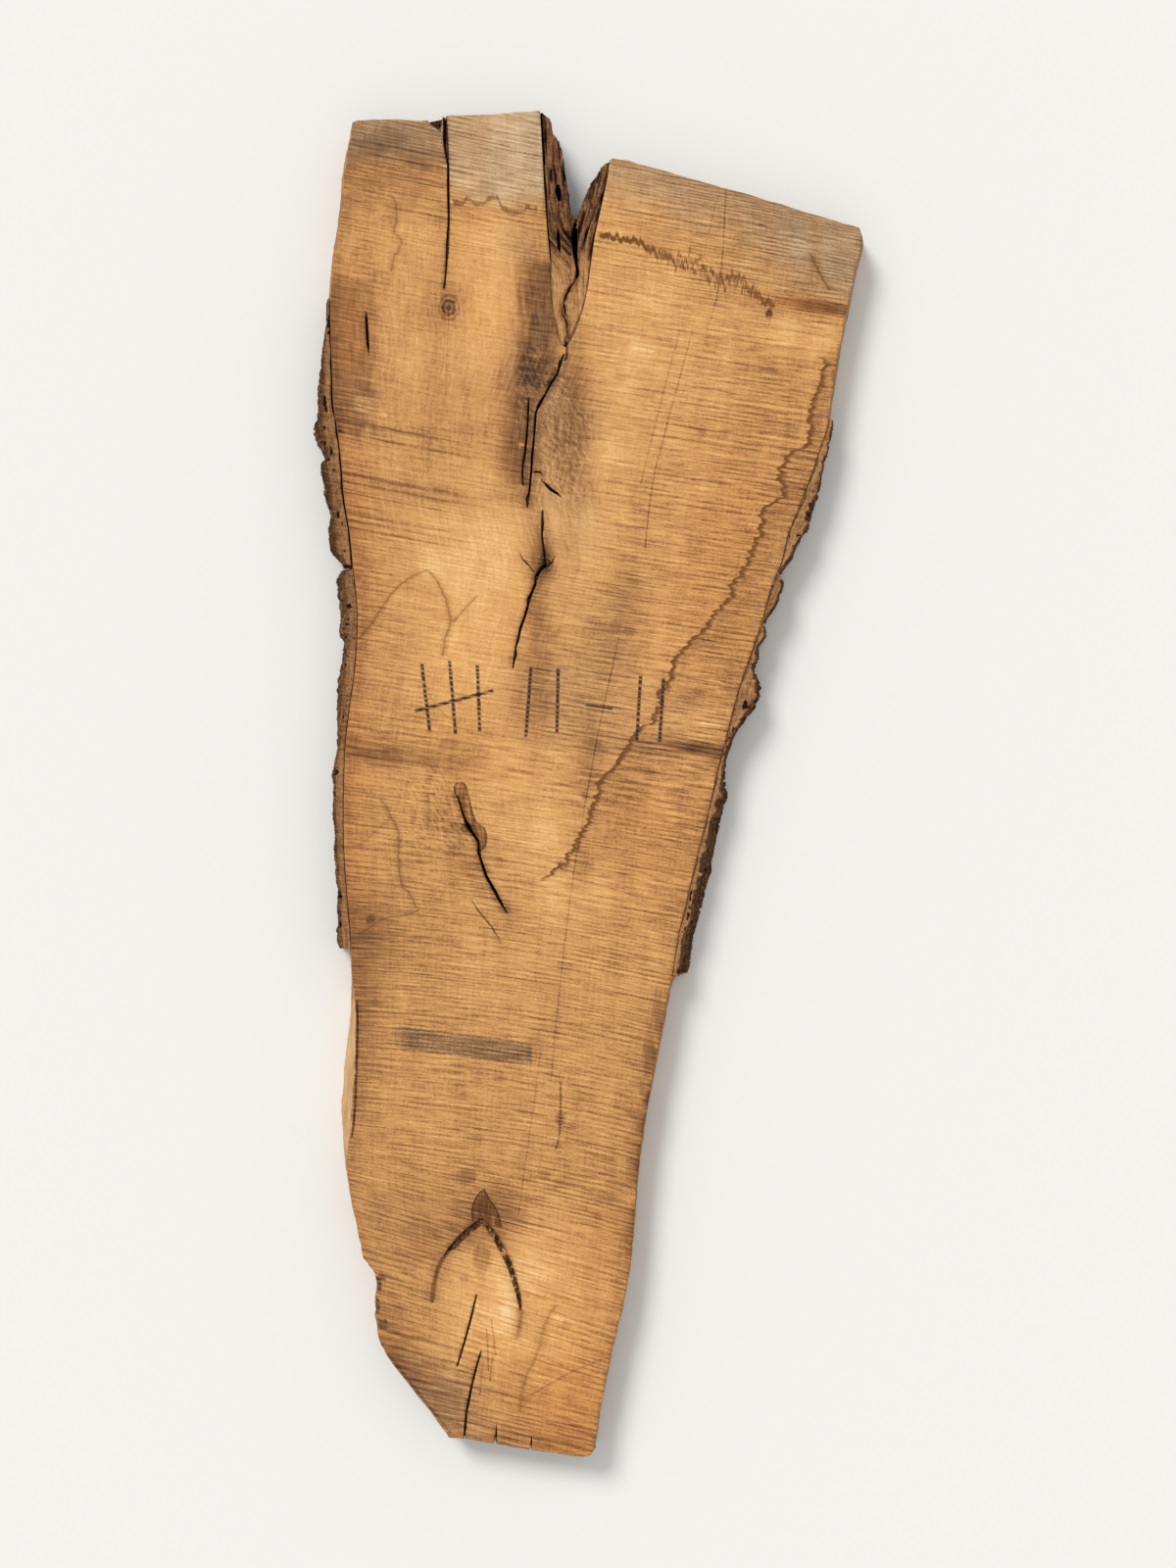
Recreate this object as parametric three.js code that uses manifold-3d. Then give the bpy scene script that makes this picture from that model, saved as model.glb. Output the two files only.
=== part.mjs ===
// A live edge pecan slab, rough sawn through a forked trunk, lying on its wider sawn face.
// Units are millimetres. +Y runs along the grain to the forked end, +Z is the face that shows,
// and the origin is under the middle of the slab, on the surface that it lies on.
import * as THREE from "three";
import { mergeVertices } from "three/addons/utils/BufferGeometryUtils.js";
import Module from "manifold-3d";

const wasm = await Module();
wasm.setup();

// Driving dimensions
const slabThickness = 57;
const levelCount = 6; // bands between the two sawn faces
const edgeStep = 12; // spacing of the stations along the wood's edges
const barkStep = 8; // spacing of the stations along the bark's outside
const barkGap = 0.8; // the dry seam where the bark has parted from the wood
const thinnestBark = 3;
const furrowSpacing = 19; // across the bark, from one ridge to the next
const furrowDepth = 0.36; // as a share of the bark's thickness
const ridgeRise = 1.14; // how far a ridge stands out, as a share of the bark's thickness
const plateLength = 46; // of one scaly plate along a ridge
const crackTaper = 0.3; // a split's width at its bottom, as a share of its width at the face
const forkSeamGap = 2.2; // the wider seam beside the left arm of the fork's bark
const cutAbove = 2; // how far a cutter stands above the face

// The wood's edges on the upper face, as [x, y], each with y falling
const leftEdge = [
  [-348, 979], [-360, 913], [-367, 840], [-376, 782], [-381, 721], [-380, 659], [-378, 608],
  [-376, 558], [-371, 529], [-365, 478], [-360, 420], [-352, 369], [-347, 318], [-342, 275],
  [-341, 224], [-345, 166], [-352, 115], [-358, 65], [-361, -1], [-361, -88], [-357, -153],
  [-351, -225], [-349, -291], [-345, -349], [-347, -428], [-351, -494], [-357, -559],
  [-351, -617], [-341, -660], [-332, -704], [-316, -730], [-316, -784], [-306, -834],
  [-273, -878], [-238, -923], [-206, -966],
];
const rightEdge = [
  [407, 811], [407, 801], [399, 771], [389, 724], [378, 674], [370, 630], [361, 572],
  [354, 529], [342, 492], [328, 452], [313, 413], [296, 369], [286, 328], [271, 292],
  [258, 243], [244, 202], [228, 156], [215, 112], [202, 60], [190, 14], [175, -51],
  [162, -102], [145, -175], [133, -225], [123, -291], [110, -363], [96, -436], [83, -508],
  [74, -581], [68, -658], [61, -726], [49, -787], [39, -830], [30, -871], [19, -929],
  [12, -982],
];

// The two sawn ends and the fork, in order round the slab
const buttEnd = [
  [-206, -968], [-174, -971], [-135, -977], [-80, -987], [-36, -993], [-12, -997], [4, -994],
];
const rightLimbEnd = [[402, 823], [339, 842], [271, 863], [197, 884], [119, 906], [58, 923], [36, 926]];
const leftLimbEnd = [[-72, 997], [-142, 991], [-206, 990], [-239, 982], [-290, 984], [-342, 982]];
const forkRightWood = [
  [32, 923], [29, 898], [23, 869], [16, 837], [10, 811], [4, 768], [0, 736], [-7, 703], [-17, 674],
  [-29, 649],
];
const forkLeftWood = [
  [-36, 644], [-44, 660], [-51, 688], [-55, 724], [-55, 768], [-61, 826], [-65, 884], [-68, 942],
  [-71, 995],
];
const forkRightBark = [[25, 921], [12, 904], [0, 888], [-7, 869], [-13, 852], [-19, 837]];
const forkLeftBark = [
  [-24, 848], [-28, 872], [-32, 901], [-36, 935], [-41, 955], [-49, 962], [-54, 984], [-62, 992],
];

// How much further out each edge stands on the lower face, as [y, lean]
const leftLean = [
  [-970, 5], [-700, 5], [-590, 6], [-530, 14], [-494, 21], [-428, 21], [-349, 14], [-291, 6],
  [-240, 9], [300, 8], [700, 10], [980, 9],
];
const rightLean = [[-990, 1], [-300, 5], [-275, 17], [-100, 17], [-25, 14], [0, 8], [300, 8], [823, 6]];

// Each strip of bark: how far it stands out past the wood's upper edge, as [y, breadth]
const barkStrips = {
  bark_left_upper: {
    side: -1,
    breadth: [
      [720, 9], [688, 14], [659, 19], [623, 25], [579, 30], [543, 33], [539, 39], [521, 42],
      [504, 38], [492, 31], [485, 25], [478, 36], [463, 38], [427, 35], [405, 31], [388, 32],
      [384, 38], [347, 37], [341, 36], [337, 24], [323, 22],
    ],
  },
  bark_left_lower: {
    side: -1,
    breadth: [
      [318, 25], [304, 33], [272, 33], [246, 31], [224, 36], [217, 27], [195, 26], [173, 28],
      [144, 29], [115, 26], [86, 22], [57, 19], [31, 21], [14, 25], [-1, 22], [-51, 23], [-73, 20],
      [-102, 23], [-124, 21], [-146, 23], [-153, 20], [-182, 24], [-211, 25], [-230, 28],
      [-240, 27], [-244, 25],
    ],
  },
  bark_right_upper: {
    side: 1,
    breadth: [
      [540, 13], [521, 15], [500, 17], [478, 19], [456, 23], [434, 26], [405, 28], [395, 29],
      [381, 33], [373, 28], [362, 26], [350, 21], [343, 22], [333, 17], [321, 12], [315, 11],
    ],
  },
  bark_right_middle: {
    side: 1,
    breadth: [[310, 12], [305, 20], [297, 23], [282, 23], [268, 21], [257, 17], [249, 12], [241, 11]],
  },
  bark_right_lower: {
    side: 1,
    breadth: [
      [236, 11], [230, 15], [217, 21], [210, 15], [205, 12], [199, 15], [185, 21], [173, 17],
      [166, 21], [149, 33], [140, 37], [127, 37], [112, 35], [98, 27], [86, 22], [72, 16],
      [36, 13], [14, 17], [-5, 22], [-18, 30], [-30, 27], [-73, 27], [-117, 29], [-131, 32],
      [-153, 29], [-204, 31], [-225, 28], [-269, 29], [-281, 28], [-285, 27],
    ],
  },
};

// Splits in the wood, each a line of [x, y, width] points along the upper face
const splits = {
  limbEndSplit: {
    depth: slabThickness + cutAbove,
    line: [
      [-212, 1004, 5.8], [-212, 946, 5.1], [-207, 916, 3.8], [-207, 877, 3.5], [-206, 833, 2.9],
      [-209, 803, 2.2], [-210, 763, 1.4], [-213, 733, 0],
    ],
  },
  shortCheck: { depth: 18, line: [[-328, 701, 0], [-328, 688, 4.3], [-326, 652, 4.9], [-324, 634, 0]] },
  forkSeam: {
    depth: 24,
    line: [
      [-36, 636, 0], [-42, 624, 2.6], [-45, 608, 2.6], [-55, 594, 2.9], [-62, 579, 2.9],
      [-71, 563, 4], [-77, 550, 3], [-78, 529, 2.4], [-80, 511, 2.4], [-83, 485, 3],
      [-84, 463, 3.2], [-86, 439, 3], [-87, 431, 3], [-91, 422, 2.2], [-90, 409, 0],
    ],
  },
  forkSeamLeft: {
    depth: 20,
    line: [
      [-88, 572, 0], [-88, 557, 2.6], [-89, 536, 2.6], [-91, 514, 2.8], [-93, 492, 3],
      [-95, 477, 2.4], [-97, 463, 2], [-96, 442, 0],
    ],
  },
  seamBranch: { depth: 9, line: [[-82, 461, 0], [-77, 462, 1.8], [-70, 461, 1.8], [-66, 454, 0]] },
  seamBranchLow: {
    depth: 9,
    line: [[-70, 451, 0], [-64, 445, 2], [-55, 436, 2], [-46, 430, 1.6], [-39, 424, 0]],
  },
  heartSplit: {
    depth: 30,
    line: [
      [-67, 405, 0], [-66, 385, 1.8], [-68, 368, 2.2], [-66, 350, 2.2], [-64, 335, 3.2],
      [-62, 326, 6], [-70, 318, 5.8], [-77, 308, 4.3], [-78, 296, 4.3], [-83, 284, 3.6],
      [-88, 275, 4.3], [-89, 263, 3.6], [-93, 250, 4.3], [-96, 241, 3.6], [-100, 231, 5],
      [-102, 220, 4.3], [-104, 211, 3.6], [-107, 202, 2.6], [-106, 191, 3], [-109, 182, 2.6],
      [-111, 171, 0],
    ],
  },
  heartBranchLeft: { depth: 8, line: [[-102, 343, 0], [-96, 332, 1.6], [-87, 323, 1.8], [-77, 309, 0]] },
  heartBranchRight: { depth: 8, line: [[-48, 337, 0], [-53, 328, 1.8], [-61, 322, 1.8], [-66, 320, 0]] },
  knotSplit: {
    depth: 30,
    line: [
      [-193, -17, 0], [-188, -33, 2.2], [-183, -50, 2.9], [-178, -63, 8.7], [-171, -73, 5.1],
      [-162, -85, 4.3], [-162, -101, 4.3], [-158, -114, 4.3], [-151, -136, 5.2],
      [-139, -157, 5.5], [-129, -176, 4.6], [-120, -191, 0],
    ],
  },
  knotCheck: {
    depth: 8,
    line: [[-175, -168, 0], [-161, -189, 1.5], [-142, -212, 1.5], [-128, -236, 0]],
  },
  wishboneLeft: {
    depth: 7,
    floor: 0.75,
    line: [
      [-154, -643, 0], [-161, -650, 9], [-177, -662, 10.5], [-194, -678, 10], [-207, -691, 5],
      [-213, -698, 0],
    ],
  },
  wishboneRight: {
    depth: 7,
    floor: 0.75,
    line: [
      [-163, -642, 0], [-151, -652, 8.5], [-138, -669, 9.5], [-126, -691, 9.5], [-117, -710, 9.5],
      [-110, -730, 8.5], [-104, -752, 8], [-100, -771, 5], [-100, -781, 0],
    ],
  },
  buttCheckUpper: {
    depth: 20,
    line: [[-165, -755, 0], [-170, -779, 2.6], [-177, -805, 2.9], [-186, -836, 2.3], [-194, -862, 0]],
  },
  buttCheckLower: {
    depth: slabThickness + cutAbove,
    line: [[-158, -839, 0], [-170, -882, 2.9], [-174, -903, 2.9], [-180, -932, 2.6], [-184, -985, 3]],
  },
  buttNickLeft: { depth: 34, line: [[-135, -946, 0], [-136, -965, 2.9], [-139, -992, 6.5]] },
  buttNickRight: { depth: 30, line: [[-83, -964, 0], [-84, -978, 2.9], [-86, -999, 6]] },
};
const limbEndChip = {
  depth: 13,
  outline: [[-238, 999], [-237, 981], [-228, 973], [-218, 966], [-214, 999]],
};
const forkHollows = [
  {
    depth: 40,
    line: [
      [-19, 829, 0], [-19, 820, 8], [-20, 804, 11.6], [-19, 785, 8], [-17, 770, 5], [-15, 756, 5.4],
      [-17, 744, 0],
    ],
  },
  { depth: 20, line: [[-44, 826, 0], [-44, 811, 5.6], [-43, 794, 5.6], [-42, 785, 0]] },
  { depth: 14, line: [[-45, 887, 0], [-44, 877, 4.3], [-42, 863, 0]] },
  { depth: 14, line: [[-36, 715, 0], [-35, 708, 3.6], [-34, 698, 3.4], [-32, 690, 0]] },
];

const materials = {
  wood: new THREE.MeshStandardMaterial({ color: 0xc08a52, roughness: 0.85, metalness: 0 }),
  bark: new THREE.MeshStandardMaterial({ color: 0x6b4c33, roughness: 0.95, metalness: 0 }),
};

// A smooth, repeatable unevenness between -1 and 1
function unevenness(along, across, seed) {
  const slow = Math.sin(0.061 * along + 0.09 * across + 1.7 * seed);
  const middle = Math.sin(0.153 * along - 0.17 * across + 4.1 * seed);
  const quick = Math.sin(0.347 * along + 0.31 * across + 2.3 * seed);
  return (slow + middle + quick) / 3;
}

// A value that follows [key, value] points, smoothly or in straight runs
function follow(points, smooth) {
  const rising = [...points].sort((a, b) => a[0] - b[0]);
  const Kind = smooth ? THREE.CubicInterpolant : THREE.LinearInterpolant;
  const track = new Kind(rising.map((p) => p[0]), rising.map((p) => p[1]), 1);
  return (key) => track.evaluate(THREE.MathUtils.clamp(key, rising[0][0], rising.at(-1)[0]))[0];
}

const levels = Array.from({ length: levelCount + 1 }, (_, k) => (slabThickness * k) / levelCount);
const spread = (z) => 1 - (z / slabThickness) ** 1.5; // 1 on the lower face, 0 on the upper
const edges = {
  "-1": { line: follow(leftEdge.map(([x, y]) => [y, x]), true), lean: follow(leftLean, false) },
  1: { line: follow(rightEdge.map(([x, y]) => [y, x]), true), lean: follow(rightLean, false) },
};

// Where the wood's edge stands at one station and level; side is -1 on the left and 1 on the right
function woodEdge(side, y, z) {
  const { line, lean } = edges[side];
  return line(y) + side * lean(y) * spread(z);
}

// 1 where the edge is bare wood, and 0 under a strip of bark
function bareness(side, y) {
  const margin = 2 * edgeStep;
  const under = Object.values(barkStrips).some(({ side: own, breadth }) => {
    return own === side && y < breadth[0][0] + margin && y > breadth.at(-1)[0] - margin;
  });
  return under ? 0 : 1;
}

// Stations from one y to another, ends included, about one step apart
function stations(from, to, step) {
  const count = Math.max(1, Math.round(Math.abs(to - from) / step));
  return Array.from({ length: count + 1 }, (_, k) => from + ((to - from) * k) / count);
}

// A run of corner points, filled in to one step apart
function filledIn(points, step) {
  const path = new THREE.Path(points.map(([x, y]) => new THREE.Vector2(x, y)));
  return path.getSpacedPoints(Math.max(points.length, Math.round(path.getLength() / step)));
}

// A run of points roughened across its own direction, differently at each level
function roughened(points, z, depth, seed) {
  return points.map((p, i) => {
    const before = points[Math.max(0, i - 1)];
    const after = points[Math.min(points.length - 1, i + 1)];
    const across = new THREE.Vector2(after.y - before.y, before.x - after.x).normalize();
    const inside = i === 0 || i === points.length - 1 ? 0 : 1;
    const along = p.x + p.y;
    return p.clone().addScaledVector(across, inside * depth * unevenness(along, z, seed));
  });
}

// The closed mesh of a stack of outlines, counterclockwise from above and alike in count, lowest first
function stackGeometry(outlines, heights) {
  const count = outlines[0].length;
  const positions = outlines.flatMap((outline, k) => outline.flatMap((p) => [p.x, p.y, heights[k]]));
  const faces = [];
  for (let k = 0; k + 1 < outlines.length; k += 1) {
    for (let i = 0; i < count; i += 1) {
      const [a, b] = [k * count + i, k * count + ((i + 1) % count)];
      faces.push(a, b, b + count, a, b + count, a + count);
    }
  }
  const top = (outlines.length - 1) * count;
  THREE.ShapeUtils.triangulateShape(outlines[0], []).forEach(([a, b, c]) => faces.push(a, c, b));
  THREE.ShapeUtils.triangulateShape(outlines.at(-1), []).forEach(([a, b, c]) => {
    faces.push(top + a, top + b, top + c);
  });
  const geometry = new THREE.BufferGeometry();
  geometry.setAttribute("position", new THREE.Float32BufferAttribute(positions, 3));
  geometry.setIndex(faces);
  return geometry;
}

function solidOf(geometry) {
  const merged = mergeVertices(geometry, 1e-3);
  const vertProperties = merged.attributes.position.array;
  return new wasm.Manifold(
    new wasm.Mesh({ numProp: 3, vertProperties, triVerts: new Uint32Array(merged.index.array) }),
  );
}

function geometryOf(solid) {
  const { numProp, vertProperties, triVerts } = solid.getMesh();
  const geometry = new THREE.BufferGeometry();
  geometry.setAttribute("position", new THREE.Float32BufferAttribute(vertProperties, numProp));
  geometry.setIndex(new THREE.BufferAttribute(triVerts, 1));
  geometry.computeVertexNormals();
  return geometry;
}

// The outline of a split, its width scaled, closing to a point where its width is 0
function splitOutline(line, share) {
  const sides = line.map(([x, y, width], i) => {
    const [xa, ya] = line[Math.max(0, i - 1)];
    const [xb, yb] = line[Math.min(line.length - 1, i + 1)];
    const across = new THREE.Vector2(yb - ya, xa - xb).normalize().multiplyScalar((width * share) / 2);
    const middle = new THREE.Vector2(x, y);
    return { width, out: middle.clone().add(across), back: middle.clone().sub(across) };
  });
  const outline = [
    ...sides.map((s) => s.out),
    ...sides.filter((s) => s.width > 0).reverse().map((s) => s.back),
  ];
  return THREE.ShapeUtils.isClockWise(outline) ? outline.reverse() : outline;
}

// A cutter that narrows from above the face down to its depth
function splitCutter({ line, depth, floor = crackTaper }) {
  const heights = [slabThickness - depth, slabThickness + cutAbove];
  return solidOf(stackGeometry([splitOutline(line, floor), splitOutline(line, 1)], heights));
}

function chipCutter({ outline, depth }) {
  const points = outline.map(([x, y]) => new THREE.Vector2(x, y));
  const heights = [slabThickness - depth, slabThickness + cutAbove];
  return solidOf(stackGeometry([points, points], heights));
}

function cut(geometry, cutters) {
  return geometryOf(cutters.reduce((solid, cutter) => solid.subtract(cutter), solidOf(geometry)));
}

// The wood, with its sawn ends, its live edges, the fork and the splits
function woodGeometry() {
  const bareWobble = 1.4;
  const sawnWobble = 0.7;
  const edgeRun = (side, ends, z) => {
    return stations(ends[0], ends[1], edgeStep).map((y) => {
      const rough = bareness(side, y) * bareWobble * unevenness(y, z, side + 3);
      return new THREE.Vector2(woodEdge(side, y, z) + rough, y);
    });
  };
  const shifted = (points, z, fromSide, toSide) => {
    // the ends of a sawn end follow the lean of the edges that they meet
    return points.map((p, i) => {
      const share = i / (points.length - 1);
      const from = fromSide ? fromSide * edges[fromSide].lean(p.y) * (1 - share) : 0;
      const to = toSide ? toSide * edges[toSide].lean(p.y) * share : 0;
      return new THREE.Vector2(p.x + (from + to) * spread(z), p.y);
    });
  };
  const sawnRun = (points, z, fromSide, toSide, seed) => {
    const rough = roughened(filledIn(points, edgeStep), z, sawnWobble, seed);
    return shifted(rough, z, fromSide, toSide);
  };
  const outlines = levels.map((z) => [
    ...sawnRun(buttEnd, z, -1, 1, 5),
    ...edgeRun(1, [rightEdge.at(-1)[1], rightEdge[0][1]], z),
    ...sawnRun(rightLimbEnd, z, 1, 0, 6),
    ...filledIn([...forkRightWood, ...forkLeftWood], edgeStep),
    ...sawnRun(leftLimbEnd, z, 0, -1, 7),
    ...edgeRun(-1, [leftEdge[0][1], leftEdge.at(-1)[1]], z),
  ]);
  const cutters = [...Object.values(splits).map(splitCutter), chipCutter(limbEndChip)];
  return cut(stackGeometry(outlines, levels), cutters);
}

// The furrows between a bark's ridges, 0 on a ridge and up to 1 in a furrow
function furrow(along, z, seed) {
  const wander = 0.9 * unevenness(along, 0, seed);
  const between = 0.5 - 0.5 * Math.cos(2 * Math.PI * (z / furrowSpacing + wander));
  const plate = Math.floor(along / plateLength + 0.7 * unevenness(z * 3, along * 0.2, seed));
  const step = 0.5 + 0.5 * Math.sin(plate * 12.9898 + Math.round(z / furrowSpacing) * 4.1);
  return 0.6 * between + 0.4 * step;
}

function barkStripGeometry({ side, breadth }, seed) {
  const reach = follow(breadth, false);
  const [from, to] = [breadth[0][0], breadth.at(-1)[0]];
  const outlines = levels.map((z) => {
    const inner = stations(from, to, edgeStep).map((y) => {
      return new THREE.Vector2(woodEdge(side, y, z) + side * barkGap, y);
    });
    const outer = stations(from, to, barkStep).map((y) => {
      const thickness = Math.max(thinnestBark, reach(y) - edges[side].lean(y));
      const left = ridgeRise - furrowDepth * furrow(y, z, seed);
      return new THREE.Vector2(woodEdge(side, y, z) + side * (barkGap + thickness * left), y);
    });
    return side < 0 ? [...inner.reverse(), ...outer] : [...outer.reverse(), ...inner];
  });
  return stackGeometry(outlines, levels);
}

// The bark that grew in the fork: an arm up each limb, joined below the fork
function forkBarkGeometry() {
  const roughness = 3.2;
  const tip = forkRightWood.at(-1);
  const tipGap = 2;
  const wideFrom = 730;
  const wideAt = 800;
  const woodSide = filledIn([...forkRightWood, ...forkLeftWood], edgeStep).map((p) => {
    // the seam opens where the left arm has parted from its limb
    const opened = THREE.MathUtils.smoothstep(p.y, wideFrom, wideAt) * (forkSeamGap - barkGap);
    const share = THREE.MathUtils.clamp((p.x - tip[0]) / barkStep, -1, 1);
    const gap = share < 0 ? barkGap + opened : barkGap;
    const lift = p.y < tip[1] + edgeStep ? tipGap : 0;
    return new THREE.Vector2(p.x - share * gap, p.y + lift);
  });
  const lowest = woodSide.findIndex(({ y }, i) => i > 0 && y > woodSide[i - 1].y);
  const right = woodSide.slice(0, lowest).reverse();
  const left = woodSide.slice(lowest).reverse();
  const outlines = levels.map((z) => [
    ...right.map((p) => p.clone()),
    ...roughened(filledIn([...forkRightBark, ...forkLeftBark], barkStep), z, roughness, 9),
    ...left.map((p) => p.clone()),
  ]);
  return cut(stackGeometry(outlines, levels), forkHollows.map(splitCutter));
}

function namedMesh(name, geometry, material) {
  const mesh = new THREE.Mesh(geometry, material);
  mesh.name = name;
  return mesh;
}

const slab = new THREE.Group();
const bark = new THREE.Group();
slab.add(namedMesh("wood", woodGeometry(), materials.wood), bark);
bark.add(namedMesh("bark_fork", forkBarkGeometry(), materials.bark));
Object.entries(barkStrips).forEach(([name, strip], i) => {
  bark.add(namedMesh(name, barkStripGeometry(strip, i + 1), materials.bark));
});

export default slab;
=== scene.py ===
import math

import bmesh
import bpy
import numpy as np
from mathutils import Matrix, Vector
from mathutils.bvhtree import BVHTree
from mathutils.kdtree import KDTree


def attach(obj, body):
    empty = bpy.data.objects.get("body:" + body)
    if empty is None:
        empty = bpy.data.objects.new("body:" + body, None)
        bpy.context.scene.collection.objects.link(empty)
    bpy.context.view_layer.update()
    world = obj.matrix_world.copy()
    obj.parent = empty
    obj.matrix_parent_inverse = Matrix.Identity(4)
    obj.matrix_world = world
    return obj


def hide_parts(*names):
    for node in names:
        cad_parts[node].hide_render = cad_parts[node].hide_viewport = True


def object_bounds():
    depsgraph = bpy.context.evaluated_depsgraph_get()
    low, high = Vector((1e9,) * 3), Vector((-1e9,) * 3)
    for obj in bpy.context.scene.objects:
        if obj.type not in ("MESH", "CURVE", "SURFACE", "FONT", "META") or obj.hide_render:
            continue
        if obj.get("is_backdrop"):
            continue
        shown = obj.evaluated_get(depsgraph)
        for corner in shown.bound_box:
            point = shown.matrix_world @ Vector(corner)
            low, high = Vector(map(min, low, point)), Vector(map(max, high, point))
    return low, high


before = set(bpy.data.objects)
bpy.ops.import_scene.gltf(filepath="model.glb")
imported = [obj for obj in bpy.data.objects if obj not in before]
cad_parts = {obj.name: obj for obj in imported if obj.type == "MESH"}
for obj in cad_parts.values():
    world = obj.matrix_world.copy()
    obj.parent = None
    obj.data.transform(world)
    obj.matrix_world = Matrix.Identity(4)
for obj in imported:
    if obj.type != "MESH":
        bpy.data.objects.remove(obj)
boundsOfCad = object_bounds()
mm = 0.001
print("frame loaded")

slab = {
    "top": 57.0,
    "crestsBelowTop": 0.15,  # the sawn face stays just inside the CAD box
    "columns": 8.2,  # grid spacing across the face; the rows follow the saw marks
    "wallEdge": 8.0,  # longest edge on the slab's side walls
    "grooveFloor": 50.0,
    "grooveEdge": 2.4,  # longest edge on the floors of the grooves
    "splitsCloseBelow": 50.5,
    "widestSplit": 11.0,
    "rightEndFalls": 0.281,  # the slant of the right limb's sawn end
}
underside = {"up": 0.1, "ripple": 0.3, "falls": 0.1}  # how high it lies, and its own saw marks
wallRise = 0.9  # a face whose normal rises less than this stands in a wall
levelRise = 0.7  # and one whose normal rises more than this lies level
sawMarks = {
    "spacing": 7.6,
    "unevenness": 0.42,
    "depth": 0.42,
    "depthVaries": 0.36,
    "fuzz": 0.05,  # raised fibres all over
    # the marks fall to the right: (place along the slab, fall per unit of x, change of it with x)
    "slope": [
        (-1020, 0.2, 0), (-950, 0.24, 0), (-860, 0.3, 0), (-720, 0.29, 0), (-560, 0.22, 0.0002),
        (-350, 0.2, 0.00024), (-175, 0.18, 0.0001), (0, 0.165, 0.00004), (350, 0.168, -0.00004),
        (700, 0.175, -0.00004), (860, 0.2, 0), (1000, 0.23, 0),
    ],
    # where they are faint or strong, as (x, y, half width, half height, turn, amount)
    "strength": [
        (-215, 650, 110, 120, 0, -0.62), (-62, 560, 46, 200, 0, -0.75), (-30, 440, 60, 110, 0, -0.55),
        (-250, 460, 80, 60, 0, -0.3), (-150, 300, 60, 90, 0, -0.35), (-60, -760, 160, 200, 0, 0.3),
        (120, 380, 150, 300, 0, 0.3), (0, -260, 250, 250, 0, 0.3), (300, 640, 100, 160, 0, 0.2),
        (170, 20, 70, 180, 0, 0.3), (-140, 920, 110, 80, 0, 0.5), (240, 820, 170, 70, 0, 0.35),
    ],
}


# Smooth noise and fields

def latticeValue(ix, iy, iz, seed):
    mixed = ix * 73856093 ^ iy * 19349663 ^ iz * 83492791 ^ seed * 97531
    mixed = (mixed ^ (mixed >> 13)) * 60493 & 0x7FFFFFFF
    mixed = (mixed ^ (mixed >> 15)) * 19997 & 0x7FFFFFFF
    return ((mixed >> 7) & 0xFFFF) / 32767.5 - 1


def softNoise(x, y, z=0.0, seed=0):
    # between -1 and 1, with features about one unit across
    axes = [np.asarray(v, float) for v in np.broadcast_arrays(x, y, z)]
    corner = [np.floor(v).astype(np.int64) for v in axes]
    ease = [(v - c) ** 2 * (3 - 2 * (v - c)) for v, c in zip(axes, corner)]
    total = 0
    for dx in (0, 1):
        for dy in (0, 1):
            for dz in (0, 1):
                share = 1
                for step, part in zip((dx, dy, dz), ease):
                    share = share * (part if step else 1 - part)
                total = total + share * latticeValue(
                    corner[0] + dx, corner[1] + dy, corner[2] + dz, seed
                )
    return total


def layeredNoise(x, y, z=0.0, seed=0, layers=3):
    total = 0
    for k in range(layers):
        total = total + 0.5**k * softNoise(x * 2**k, y * 2**k, z * 2**k, seed + 7 * k)
    return total / (2 - 0.5 ** (layers - 1))


def smoothStep(value, low, high):
    share = np.clip((value - low) / (high - low), 0, 1)
    return share * share * (3 - 2 * share)


def follow(points, value):
    places, values = zip(*sorted(points))
    return np.interp(value, places, values)


def softSpots(spots, x, y, seed):
    # each spot is (x, y, half width, half height, turn in degrees, amount)
    total = np.zeros_like(x)
    for k, (cx, cy, wide, high, turn, amount) in enumerate(spots):
        warp = 0.35 * min(wide, high)
        dx = x - cx + warp * softNoise(x / 40, y / 40, k, seed)
        dy = y - cy + warp * softNoise(x / 40, y / 40, k, seed + 1)
        c, s = math.cos(math.radians(turn)), math.sin(math.radians(turn))
        away = ((dx * c + dy * s) / wide) ** 2 + ((dy * c - dx * s) / high) ** 2
        total += amount * np.exp(-0.5 * away**1.4)
    return total


# Meshes

def pointsOf(mesh):
    points = np.empty(len(mesh.vertices) * 3)
    mesh.vertices.foreach_get("co", points)
    return points.reshape(-1, 3) / mm


def movePoints(mesh, points):
    mesh.vertices.foreach_set("co", (points * mm).ravel())
    mesh.update()


def faceArrays(mesh):
    normals, centres = (np.empty(len(mesh.polygons) * 3) for _ in range(2))
    mesh.polygons.foreach_get("normal", normals)
    mesh.polygons.foreach_get("center", centres)
    return normals.reshape(-1, 3), centres.reshape(-1, 3) / mm


def meshFrom(bm, name):
    mesh = bpy.data.meshes.new(name)
    bm.to_mesh(mesh)
    bm.free()
    return mesh


def newPiece(name, mesh):
    piece = bpy.data.objects.new(name, mesh)
    bpy.context.scene.collection.objects.link(piece)
    return piece


def keepInside(piece, block):
    trim = piece.modifiers.new("trim", "BOOLEAN")
    trim.operation = "INTERSECT"
    trim.solver = "MANIFOLD"
    trim.object = block
    piece.data = bpy.data.meshes.new_from_object(
        piece.evaluated_get(bpy.context.evaluated_depsgraph_get())
    )
    piece.modifiers.clear()
    bpy.data.objects.remove(block)


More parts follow.
